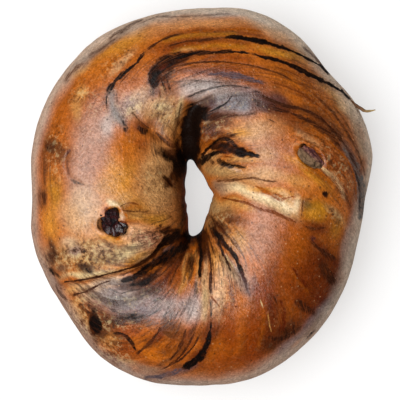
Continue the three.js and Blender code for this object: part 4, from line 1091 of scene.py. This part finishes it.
# One row for each corner: signed distance, distance, half width, softness, and the line's colour and
# strength. In each layer the line that is nearest for its width counts.
layers = [np.tile([FAR, FAR, THIN, THIN, 0, 0, 0, 0], (len(skin), 1)) for _ in range(LAYERS)]
for name, strength, softness, widths, points in SWIRLS:
    near, distance, share, length = beside(smooth_line(points), place, max(widths) + LINE_REACH)
    width = np.interp(share, np.linspace(0, 1, len(widths)), widths)
    close = near[np.abs(distance) < width + LINE_ROOM]
    layer = max(layers, key=lambda other: other[close, 1].min())
    wins = np.abs(distance) / width < layer[near, 1] / layer[near, 2]
    rows = [distance, np.abs(distance), width, np.full(len(near), softness)]
    rows += [np.full(len(near), part) for part in linear(TONES[name])]
    rows += [strength * ends_fade(share, length, LINE_FADE)]
    layer[near[wins]] = np.stack(rows, -1)[wins]


def set_attribute(piece, name, kind, values):
    """Writes one value for each corner point of a piece's mesh."""
    attribute = piece.data.attributes.new(name, kind, "POINT")
    field = {"FLOAT": "value", "FLOAT_VECTOR": "vector", "FLOAT_COLOR": "color"}[kind]
    attribute.data.foreach_set(field, np.ascontiguousarray(values, np.float32).ravel())


# The grain's own coordinates: a line of the grain keeps one place on a circle, and the distance along
# it counts little, so that patterns on them are drawn out along the twist.
GRAIN_TURN, GRAIN_SWING = 1.5, 1.1  # radians from hole to rim: more on the far side than on the near
GRAIN_CIRCLE = 30
GRAIN_STRETCH = 0.14
CROWN_MELT = 0.15  # share of the way over which the two sides of the crown melt together
GLOSS_FROM, GLOSS_FULL = 0.2, 0.65  # upward parts of the normal between which the skin turns glossy
grain_angle = angle + (GRAIN_TURN + GRAIN_SWING * np.sin(angle)) * across**TWIST_BEND
outside = np.tanh((across - CROWN_SHARE) / CROWN_MELT)
along_grain = np.hypot(*skin[:, :2].T) + (HEIGHT - skin[:, 2]) * outside
grain_place = np.stack([
    GRAIN_CIRCLE * np.cos(grain_angle),
    GRAIN_CIRCLE * np.sin(grain_angle),
    GRAIN_STRETCH * along_grain,
], -1)
gloss = smoothstep(GLOSS_FROM, GLOSS_FULL, normal.reshape(-1, 3)[:, 2])
for *outline, share in MATT:
    gloss *= 1 - share * spot(*outline)

set_attribute(crust, "tone", "FLOAT_COLOR", np.column_stack([tone, np.ones(len(skin))]))
set_attribute(crust, "stain_and_shade", "FLOAT", strongest(STAINS_AND_SHADE))
set_attribute(crust, "marbling", "FLOAT", strongest(MARBLING, PLAIN_MARBLING))
set_attribute(crust, "mottling", "FLOAT", strongest(MOTTLING, PLAIN_MOTTLING))
set_attribute(crust, "gloss", "FLOAT", gloss)
set_attribute(crust, "grain", "FLOAT_VECTOR", grain_place)
for number, layer in enumerate(layers):
    set_attribute(crust, f"swirl_{number}", "FLOAT_COLOR", layer[:, :4])
    set_attribute(crust, f"swirl_tone_{number}", "FLOAT_COLOR", layer[:, 4:])


class Finish:
    """A material's nodes, with one short call for each kind that the finishes here need. A value is
    either a number or colour, or another node's output."""

    def __init__(self, name):
        """A new material with a Principled shader, and Object coordinates in millimetres."""
        self.material = bpy.data.materials.new(name)
        self.material.use_nodes = True
        self.tree = self.material.node_tree
        self.tree.nodes.clear()
        self.shader = self.tree.nodes.new("ShaderNodeBsdfPrincipled")
        output = self.tree.nodes.new("ShaderNodeOutputMaterial")
        self.tree.links.new(self.shader.outputs["BSDF"], output.inputs["Surface"])
        self.millimetres = self.vector("SCALE", self.node("ShaderNodeTexCoord").outputs["Object"], 1000)

    def node(self, kind, **settings):
        """A new node of a kind, with its settings."""
        node = self.tree.nodes.new(kind)
        for name, value in settings.items():
            setattr(node, name, value)
        return node

    def put(self, socket, value):
        """Links another node's output to a socket, or writes a number or colour on it."""
        if isinstance(value, bpy.types.NodeSocket):
            self.tree.links.new(value, socket)
        else:
            socket.default_value = value

    def look(self, name, value):
        """Puts a value on one of the shader's own inputs."""
        self.put(self.shader.inputs[name], value)

    def math(self, operation, a, b=0.0, clamp=False):
        """One sum on two values."""
        node = self.node("ShaderNodeMath", operation=operation, use_clamp=clamp)
        self.put(node.inputs[0], a)
        self.put(node.inputs[1], b)
        return node.outputs[0]

    def scaled(self, value, factor, plus=0.0):
        """The value times the factor, plus a number."""
        node = self.node("ShaderNodeMath", operation="MULTIPLY_ADD")
        for socket, part in zip(node.inputs, (value, factor, plus)):
            self.put(socket, part)
        return node.outputs[0]

    def vector(self, operation, a, b):
        """One sum on two vectors, or on a vector and the number that scales it."""
        node = self.node("ShaderNodeVectorMath", operation=operation)
        self.put(node.inputs[0], a)
        self.put(node.inputs["Scale" if operation == "SCALE" else 1], b)
        return node.outputs[0]

    def split(self, kind, value):
        """The parts of a colour or a vector."""
        node = self.node(kind)
        self.put(node.inputs[0], value)
        return node.outputs

    def smooth(self, value, low, high, start=0.0, end=1.0):
        """Start below low, end above high, and a smooth rise between."""
        node = self.node("ShaderNodeMapRange", interpolation_type="SMOOTHSTEP")
        for socket, part in zip(node.inputs, (value, low, high, start, end)):
            self.put(socket, part)
        return node.outputs[0]

    def noise(self, place, size, detail=2.0, roughness=0.5):
        """Noise about `size` across, from 0 to 1."""
        node = self.node("ShaderNodeTexNoise")
        self.put(node.inputs["Vector"], place)
        self.put(node.inputs["Scale"], 1 / size)
        self.put(node.inputs["Detail"], detail)
        self.put(node.inputs["Roughness"], roughness)
        return node.outputs["Fac"]

    def dots(self, place, apart, edge, core, rare, common):
        """Round dots about `apart` from each other: whole within `core` of their middle and gone past
        `edge`, both in shares of that distance. Each dot draws a number from 0 to 1: it is missing
        below `rare` and at its full strength above `common`."""
        node = self.node("ShaderNodeTexVoronoi")
        self.put(node.inputs["Vector"], place)
        self.put(node.inputs["Scale"], 1 / apart)
        draw = self.split("ShaderNodeSeparateColor", node.outputs["Color"])[0]
        round_dot = self.smooth(node.outputs["Distance"], edge, core)
        return self.math("MULTIPLY", round_dot, self.smooth(draw, rare, common))

    def mix(self, share, a, b, blend="MIX"):
        """a where the share is 0, and b, or with MULTIPLY a times b, where it is 1."""
        node = self.node("ShaderNodeMix", data_type="RGBA", blend_type=blend)
        for index, value in ((0, share), (6, a), (7, b)):
            self.put(node.inputs[index], value)
        return node.outputs[2]

    def flecked(self, base, noise, low, high, amount, strength, name):
        """The base colour with a named tone on it: none where the noise is at low, most at high, times
        the amount at that place and the strength."""
        share = self.math("MULTIPLY", self.smooth(noise, low, high), amount)
        return self.mix(self.scaled(share, strength), base, colour(TONES[name]))

    def attribute(self, name):
        """The values of a mesh's own attribute."""
        return self.node("ShaderNodeAttribute", attribute_name=name).outputs

    def bump(self, height, gloss_share=0.4):
        """Bump from a height in millimetres, of which the gloss shows only a share."""
        for socket, strength in (("Normal", 1.0), ("Coat Normal", gloss_share)):
            node = self.node("ShaderNodeBump")
            self.put(node.inputs["Strength"], strength)
            self.put(node.inputs["Distance"], 0.001)
            self.put(node.inputs["Height"], height)
            self.look(socket, node.outputs[0])


def colour(hexadecimal):
    """A colour written as sRGB as a node's colour."""
    return (*linear(hexadecimal), 1)


finish = Finish("baked_crust")
mm = finish.millimetres
flow = finish.attribute("grain")["Vector"]
flow_noise = finish.noise(flow, 1.6, detail=5, roughness=0.65)
fibre_noise = finish.noise(flow, 0.55, detail=4, roughness=0.6)
mottle = finish.noise(mm, 2.6, detail=4, roughness=0.6)
grit = finish.noise(mm, 0.75, detail=3, roughness=0.65)
clouds = finish.noise(mm, 1.7, detail=6, roughness=0.72)

# Tone of the dough, unevenly browned
crust_colour = finish.attribute("tone")["Color"]
crust_colour = finish.mix(1.0, crust_colour, finish.scaled(mottle, 1.1, 0.45), "MULTIPLY")

# Streaks along the grain where filling is worked in, black only where it is thick, with bright dough
# between them and fine fibres over both
marbling = finish.attribute("marbling")["Fac"]
thick_filling = finish.math("MULTIPLY", marbling, marbling)
for streak in (
    (flow_noise, 0.5, 0.64, marbling, 0.8, "cinnamon"),
    (fibre_noise, 0.52, 0.66, thick_filling, 0.8, "char"),
    (flow_noise, 0.44, 0.25, marbling, 0.3, "tangerine"),
):
    crust_colour = finish.flecked(crust_colour, *streak)
fibres = finish.smooth(fibre_noise, 0.3, 0.7, 1.2, 0.75)
combed = finish.mix(1.0, crust_colour, fibres, "MULTIPLY")
crust_colour = finish.mix(finish.scaled(marbling, 0.9), crust_colour, combed)

# Flour and scorched spots where the skin is mottled
mottling = finish.attribute("mottling")["Fac"]
for spots in (
    (clouds, 0.47, 0.41, mottling, 0.5, "cream"),
    (clouds, 0.5, 0.56, mottling, 0.75, "umber"),
    (clouds, 0.57, 0.63, mottling, 0.85, "char"),
):
    crust_colour = finish.flecked(crust_colour, *spots)

# Stains of cinnamon and painted shade, whose edges follow the grain: brown, and black where they are deepest.
# The shade lies in the valley above the hole, on the hole's left wall and under the seam's step.
edge = finish.math("ADD", flow_noise, finish.scaled(mottle, 0.9))
edge = finish.math("ADD", edge, finish.scaled(grit, 0.7, -1.3))
depth = finish.math("ADD", finish.attribute("stain_and_shade")["Fac"], edge)
browned = finish.smooth(depth, 0.15, 0.5, 0.0, 0.7)
crust_colour = finish.mix(browned, crust_colour, colour(TONES["cinnamon"]))
stained_and_shaded = finish.smooth(depth, 0.42, 0.72, 0.0, 0.985)
crust_colour = finish.mix(stained_and_shaded, crust_colour, colour(TONES["char"]))

# The swirls: dark where the distance to the line, made ragged by noise, is within its half width, with
# a brown halo where the sugar of the filling has soaked in
ragged = finish.math("ADD", finish.scaled(flow_noise, 0.9, -0.45), finish.scaled(grit, 0.6, -0.3))
ragged = finish.math("ADD", ragged, finish.scaled(clouds, 1.2, -0.6))
strands = finish.math("MAXIMUM", finish.smooth(fibre_noise, 0.4, 0.65), finish.smooth(clouds, 0.45, 0.35))
swell = finish.smooth(finish.noise(mm, 3.5), 0.35, 0.65, 0.6, 1.35)
swirled = 0.0
for number in range(LAYERS):
    line = finish.attribute(f"swirl_{number}")
    signed, distance, width = finish.split("ShaderNodeSeparateColor", line["Color"])
    softness = line["Alpha"]
    ink = finish.attribute(f"swirl_tone_{number}")
    past_edge = finish.math("SUBTRACT", distance, width)
    soaked = finish.math("MULTIPLY", finish.smooth(past_edge, 0.0, 1.8, 0.42, 0.0), ink["Alpha"])
    soaked = finish.math("MULTIPLY", soaked, finish.scaled(strands, 0.7, 0.3))
    crust_colour = finish.mix(soaked, crust_colour, colour(TONES["rust"]))
    torn = finish.math("MULTIPLY", ragged, finish.math("ADD", width, 0.2))
    offset = finish.math("ABSOLUTE", finish.math("ADD", signed, torn))
    reach = finish.math("DIVIDE", offset, finish.math("MULTIPLY", width, swell))
    inner = finish.math("SUBTRACT", 1.0, softness)
    outer = finish.math("ADD", 1.15, softness)
    inside = finish.smooth(reach, inner, outer, 1.0, 0.0)
    true_line = finish.smooth(past_edge, 0.35, 0.75, 1.0, 0.0)
    broken = finish.math("SUBTRACT", 1.0, finish.math("MULTIPLY", strands, softness))
    share = finish.math("MULTIPLY", finish.math("MULTIPLY", inside, true_line), ink["Alpha"])
    share = finish.smooth(finish.math("MULTIPLY", share, broken), 0.08, 0.88)
    crust_colour = finish.mix(share, crust_colour, ink["Color"])
    swirled = finish.math("MAXIMUM", swirled, share)

# Fine blisters of the boiled skin, lightened as painted highlights, pale specks of sugar painted as glints,
# and dark specks of spice. The filling is dull, so it gets neither painted highlight.
dull = finish.math("MAXIMUM", swirled, stained_and_shaded)
blister = finish.dots(mm, 1.15, 0.3, 0.12, 0.45, 0.6)
blister_glints = finish.mix(1.0, crust_colour, finish.scaled(blister, 0.35, 1.0), "MULTIPLY")
crust_colour = finish.mix(finish.scaled(dull, -1.0, 1.0), crust_colour, blister_glints)
sugar_glints = finish.dots(mm, 1.7, 0.18, 0.08, 0.62, 0.68)
sugar_glints = finish.math("MULTIPLY", sugar_glints, finish.scaled(dull, -0.9, 0.9))
crust_colour = finish.mix(finish.scaled(sugar_glints, 0.55), crust_colour, colour(TONES["tan"]))
speck = finish.dots(mm, 1.9, 0.22, 0.08, 0.5, 0.6)
crust_colour = finish.mix(finish.scaled(speck, 0.65), crust_colour, colour(TONES["cinnamon"]))
crust_colour = finish.mix(1.0, crust_colour, finish.smooth(grit, 0.33, 0.67, 0.8, 1.2), "MULTIPLY")
finish.look("Base Color", crust_colour)

# The boiled skin is a thin glossy coat, broken up by the grit and gone where the filling lies bare
finish.look("Roughness", finish.scaled(grit, 0.2, 0.3))
finish.look("Specular IOR Level", 0.04)
skin_gloss = finish.math("MULTIPLY", finish.attribute("gloss")["Fac"], finish.scaled(dull, -0.8, 1.0))
coat = finish.math("MULTIPLY", skin_gloss, finish.smooth(grit, 0.36, 0.62, 0.55, 1.3), clamp=True)
finish.look("Coat Weight", coat)
finish.look("Coat Roughness", 0.3)

# Its fine relief: blisters, grit, orange peel and fibres, and the swirls a little sunk
orange_peel = finish.noise(mm, 0.8, detail=2, roughness=0.55)
rise = finish.math("ADD", finish.scaled(blister, 0.1), finish.scaled(grit, 0.3))
rise = finish.math("ADD", rise, finish.scaled(orange_peel, 0.14))
rise = finish.math("ADD", rise, finish.scaled(fibre_noise, 0.06))
rise = finish.math("SUBTRACT", rise, finish.scaled(swirled, 0.08))
finish.bump(rise)
crust.data.materials.append(finish.material)

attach(crust, "root")
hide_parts("bagel")

# ---- The raisins ------------------------------------------------------------------------------------
# Two raisins of the dough lie at the surface, each in a pocket of the crust. They are dried grapes:
# their skins have drawn into ridges. The left one is bare, near black and glossy, and the right one is
# half under a dull dry film of dough.

RAISIN_AROUND, RAISIN_ROWS = 180, 96
PLUMPNESS = 0.98  # share of the half sizes that the skin keeps on the whole
RIDGES = [(0.55, 1.8, 0.09), (0.26, 1.6, 0.045)]  # size, how much longer than wide, height
RIDGE_POWER = 0.8  # under 1 the ridges are sharp and the valleys round
RIDGE_MIDDLE = 0.7  # value of the folded noise that leaves the size as it is
JET, DEEP_RED = (0.004, 0.002, 0.003, 1), (0.04, 0.006, 0.006, 1)  # the left raisin's, in linear light
FLOURY, FLOURY_DARK = "745a42", "4a3826"  # the right raisin's dry film, as sRGB
BARE, BARE_DARK = "7e4e44", "48262a"  # and its skin


def ball_directions(around, rows):
    """Unit directions on rings between two poles, which are one point each: the rings' directions are
    (sin v cos u, sin v sin u, cos v)."""
    v, u = np.meshgrid(
        np.linspace(0, np.pi, rows + 1)[1:-1],
        np.linspace(0, 2 * np.pi, around, endpoint=False),
        indexing="ij",
    )
    rings = np.stack([np.sin(v) * np.cos(u), np.sin(v) * np.sin(u), np.cos(v)], -1).reshape(-1, 3)
    return np.vstack([[0, 0, 1], rings, [0, 0, -1]])


def ball_faces(around, rows):
    """Quads between the rings and triangles round the poles, facing outwards."""
    ring = 1 + np.arange((rows - 1) * around).reshape(rows - 1, around)
    after = np.roll(ring, -1, 1)
    sides = np.stack([ring[:-1], ring[1:], after[1:], after[:-1]], -1).reshape(-1, 4).tolist()
    top = [[0, a, b] for a, b in zip(ring[0].tolist(), after[0].tolist())]
    last = 1 + (rows - 1) * around
    bottom = [[last, b, a] for a, b in zip(ring[-1].tolist(), after[-1].tolist())]
    return top + sides + bottom


def raisin(name, crumple, seed):
    """An ellipsoid whose size swells and shrinks: a product of two sine waves and a third make its
    broad lobes, as on the solid raisin, and folded noise, 1 - |noise|, draws its skin into ridges. It
    lies flat to the crust, turned about the crust's normal, in the middle of the solid's box."""
    x, y, half, turn = RAISINS[name]
    way = ball_directions(RAISIN_AROUND, RAISIN_ROWS)
    lobes = np.sin(way @ (5, 4, 0) + 2) * np.sin(way @ (0, 6, -3)) + 0.6 * np.sin(way @ (5, 0, 7))
    size = PLUMPNESS + crumple * lobes
    for number, (apart, stretch, rise) in enumerate(RIDGES):
        folded = 1 - np.abs(lumps(way * (1, stretch, stretch), apart, seed + number)) ** RIDGE_POWER
        size += rise * (folded - RIDGE_MIDDLE)
    away = np.where(skin[:, 2] < RIM_Z, np.inf, np.hypot(*(skin[:, :2] - (x, y)).T))
    out_of_crust = Vector(normal.reshape(-1, 3)[np.argmin(away)])
    tilt = Vector((0, 0, 1)).rotation_difference(out_of_crust).to_matrix()
    lie = np.array(tilt @ Matrix.Rotation(math.radians(turn), 3, "Z"))
    points = (way * size[:, None] * half) @ lie.T
    centre = np.array(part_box(name)).mean(0) * 1000
    points += centre - (points.min(0) + points.max(0)) / 2 - np.array([*ring_middle, 0])
    return make_piece(name + "_skin", points, ball_faces(RAISIN_AROUND, RAISIN_ROWS))


def off_middle(finish, name, right, far):
    """How far each place lies from a raisin's middle towards (right, far): the dot product with it."""
    middle = (*(np.array(RAISINS[name][:2]) + ring_middle), 0)
    offset = finish.vector("SUBTRACT", finish.millimetres, middle)
    x, y, _ = finish.split("ShaderNodeSeparateXYZ", offset)
    return finish.math("ADD", finish.scaled(x, right), finish.scaled(y, far))


left_raisin = raisin("raisin_left", 0.16, seed=21)
finish = Finish("bare_raisin_skin")
mm = finish.millimetres
bloom = finish.smooth(finish.noise(mm, 1.4, detail=4, roughness=0.6), 0.4, 0.68)
finish.look("Base Color", finish.mix(bloom, JET, DEEP_RED))
finish.look("Roughness", 0.5)
finish.look("Specular IOR Level", 0.12)
wet_lobe = off_middle(finish, "raisin_left", 0.7, -0.7)
finish.look("Coat Weight", finish.smooth(wet_lobe, -0.8, 2.2, 0.12, 1.0))
finish.look("Coat Roughness", 0.08)
finish.bump(finish.math("MULTIPLY", finish.noise(mm, 0.8, detail=3, roughness=0.6), 0.8), 0.5)
left_raisin.data.materials.append(finish.material)
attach(left_raisin, "root")
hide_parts("raisin_left")

right_raisin = raisin("raisin_right", 0.09, seed=31)
finish = Finish("floury_raisin_skin")
mm = finish.millimetres
film = finish.noise(mm, 1.1, detail=5, roughness=0.65)
floury_side = finish.mix(finish.smooth(film, 0.42, 0.6), colour(FLOURY), colour(FLOURY_DARK))
bare_side = finish.mix(finish.smooth(film, 0.4, 0.62), colour(BARE), colour(BARE_DARK))
uphill = off_middle(finish, "raisin_right", 0.62, 0.79)
uphill = finish.math("ADD", uphill, finish.scaled(film, 2.0, -1.0))
finish.look("Base Color", finish.mix(finish.smooth(uphill, -0.4, 1.4), floury_side, bare_side))
finish.look("Roughness", finish.smooth(film, 0.3, 0.7, 0.5, 0.7))
finish.look("Specular IOR Level", 0.12)
finish.bump(finish.math("MULTIPLY", finish.noise(mm, 0.4, detail=4), 0.25))
right_raisin.data.materials.append(finish.material)
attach(right_raisin, "root")
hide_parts("raisin_right")

# ---- The raisin stem --------------------------------------------------------------------------------
# A dry twig end that stayed on one of the raisins and sticks out of the rim. It is woody, with a
# knuckle where a berry broke off, brown near the crust and straw coloured at its tip.

STEM_PATH = [
    [44.2, 30.2, 22.5], [46.6, 28.9, 22.3], [48.6, 27.6, 22.0],
    [50.4, 26.6, 21.6], [52.0, 26.6, 21.4], [53.5, 26.9, 21.4],
]
STEM_RADII = [0.7, 0.65, 0.5, 0.55, 0.38, 0.16]
STEM_AROUND = 24
STEM_SPACING = 0.12  # distance between its rings
STEM_ROUGHNESS, STEM_LUMP = 0.14, 0.7  # height of its lumps, as a share of the radius, and their size
STEM_LUMP_RING = 0.6  # radius of the plain tube on which the lumps are looked up
BARK_TO, STRAW_FROM = 47.5, 52.0  # how far to the right the bark's colour ends, and straw's is full
BARK, FIBRE, STRAW = "6b4426", "4a2c18", "b59a62"


def tapered_twig(path, radii):
    """A closed tube along a smooth path: rings square to it, each a circle whose radius follows the
    list and is roughened by lumps, and one point at either end."""
    line = smooth_line(path, STEM_SPACING)
    direction = np.gradient(line, axis=0)
    direction /= np.linalg.norm(direction, axis=1, keepdims=True)
    aside = np.cross(direction, (0, 0, 1))
    aside /= np.linalg.norm(aside, axis=1, keepdims=True)
    up = np.cross(aside, direction)
    turn = np.linspace(0, 2 * np.pi, STEM_AROUND, endpoint=False)
    ring = aside[:, None] * np.cos(turn)[:, None] + up[:, None] * np.sin(turn)[:, None]
    radius = np.interp(np.linspace(0, 1, len(line)), np.linspace(0, 1, len(radii)), radii)[:, None]
    lumpy = lumps((line[:, None] + ring * STEM_LUMP_RING).reshape(-1, 3), STEM_LUMP, seed=41)
    rough = 1 + STEM_ROUGHNESS * lumpy.reshape(len(line), -1)
    rings = line[:, None] + ring * (radius * rough)[..., None]
    points = np.vstack([line[:1], rings.reshape(-1, 3), line[-1:] + direction[-1:] * radii[-1]])
    return points, ball_faces(STEM_AROUND, len(line) + 1)


stem = make_piece("stem", *tapered_twig(STEM_PATH, STEM_RADII))
finish = Finish("dry_twig")
mm = finish.millimetres
fibre = finish.noise(finish.vector("MULTIPLY", mm, (0.35, 1.0, 1.0)), 0.3, detail=4)
x, y, z = finish.split("ShaderNodeSeparateXYZ", mm)
twig_colour = finish.mix(finish.smooth(x, BARK_TO, STRAW_FROM), colour(BARK), colour(STRAW))
twig_colour = finish.mix(finish.smooth(fibre, 0.35, 0.7, 0.0, 0.6), twig_colour, colour(FIBRE))
finish.look("Base Color", twig_colour)
finish.look("Roughness", 0.7)
finish.bump(finish.math("MULTIPLY", fibre, 0.15))
stem.data.materials.append(finish.material)
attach(stem, "root")
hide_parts("raisin_stem")

# ---- Table, light and camera ------------------------------------------------------------------------
# A plain white table that glows a little, as one lit from below does, a broad soft light from the left
# and a dim room. The camera looks straight down. Lengths are in metres.

TABLE_HALF = 8.0
TABLE_GAP = 0.0001  # keeps the table's face just under the flat base
corners = TABLE_HALF * np.array([[-1, -1], [1, -1], [1, 1], [-1, 1]])
mesh = bpy.data.meshes.new("table")
mesh.from_pydata([(x, y, -TABLE_GAP) for x, y in corners.tolist()], [], [(0, 1, 2, 3)])
table = bpy.data.objects.new("table", mesh)
bpy.context.scene.collection.objects.link(table)
finish = Finish("white_table")
finish.look("Base Color", (0.35, 0.35, 0.35, 1))
finish.look("Roughness", 0.9)
finish.look("Emission Color", (1, 1, 1, 1))
finish.look("Emission Strength", 0.6)
table.data.materials.append(finish.material)
table.visible_glossy = False

SOFTBOX_LEFT = math.radians(22)  # how far it stands off the vertical to the left
SOFTBOX_NEAR = math.radians(4)  # and to the near side
SOFTBOX_AWAY = 4.0
SOFTBOX_SIZE = (5.4, 3.6)
SOFTBOX_WATTS = 310
SOFTBOX_COLOUR = (1.0, 0.99, 0.98)
softbox_light = bpy.data.lights.new("softbox", "AREA")
softbox_light.shape = "RECTANGLE"
softbox_light.size, softbox_light.size_y = SOFTBOX_SIZE
softbox_light.energy = SOFTBOX_WATTS
softbox_light.color = SOFTBOX_COLOUR
softbox = bpy.data.objects.new("softbox", softbox_light)
toward_light = Vector((-math.sin(SOFTBOX_LEFT), -math.sin(SOFTBOX_NEAR), math.cos(SOFTBOX_LEFT)))
toward_light.normalize()
softbox.location = SOFTBOX_AWAY * toward_light
softbox.rotation_euler = toward_light.to_track_quat("Z", "Y").to_euler()
softbox.visible_camera = False
bpy.context.scene.collection.objects.link(softbox)

ROOM_COLOUR, ROOM_STRENGTH = (0.9, 0.95, 1.0, 1), 0.08
room = bpy.data.worlds.new("dim_room")
room.use_nodes = True
background = room.node_tree.nodes["Background"]
background.inputs["Color"].default_value = ROOM_COLOUR
background.inputs["Strength"].default_value = ROOM_STRENGTH
bpy.context.scene.world = room

LENS, SENSOR = 1000.0, 36.0
VIEW_WIDTH = 0.122  # how much the view takes in at VIEW_HEIGHT above the table
VIEW_HEIGHT = 0.025
VIEW_NEARER = 0.00061  # how far its middle lies to the near side of the hole's middle
camera_data = bpy.data.cameras.new("camera")
camera_data.lens = LENS
camera_data.sensor_width = SENSOR
camera_data.clip_end = 20
camera = bpy.data.objects.new("camera", camera_data)
middle = Vector((*ring_middle / 1000, VIEW_HEIGHT + VIEW_WIDTH * LENS / SENSOR))
camera.location = middle - Vector((0, VIEW_NEARER, 0))
bpy.context.scene.collection.objects.link(camera)
bpy.context.scene.camera = camera
bpy.context.scene.view_settings.view_transform = "Standard"
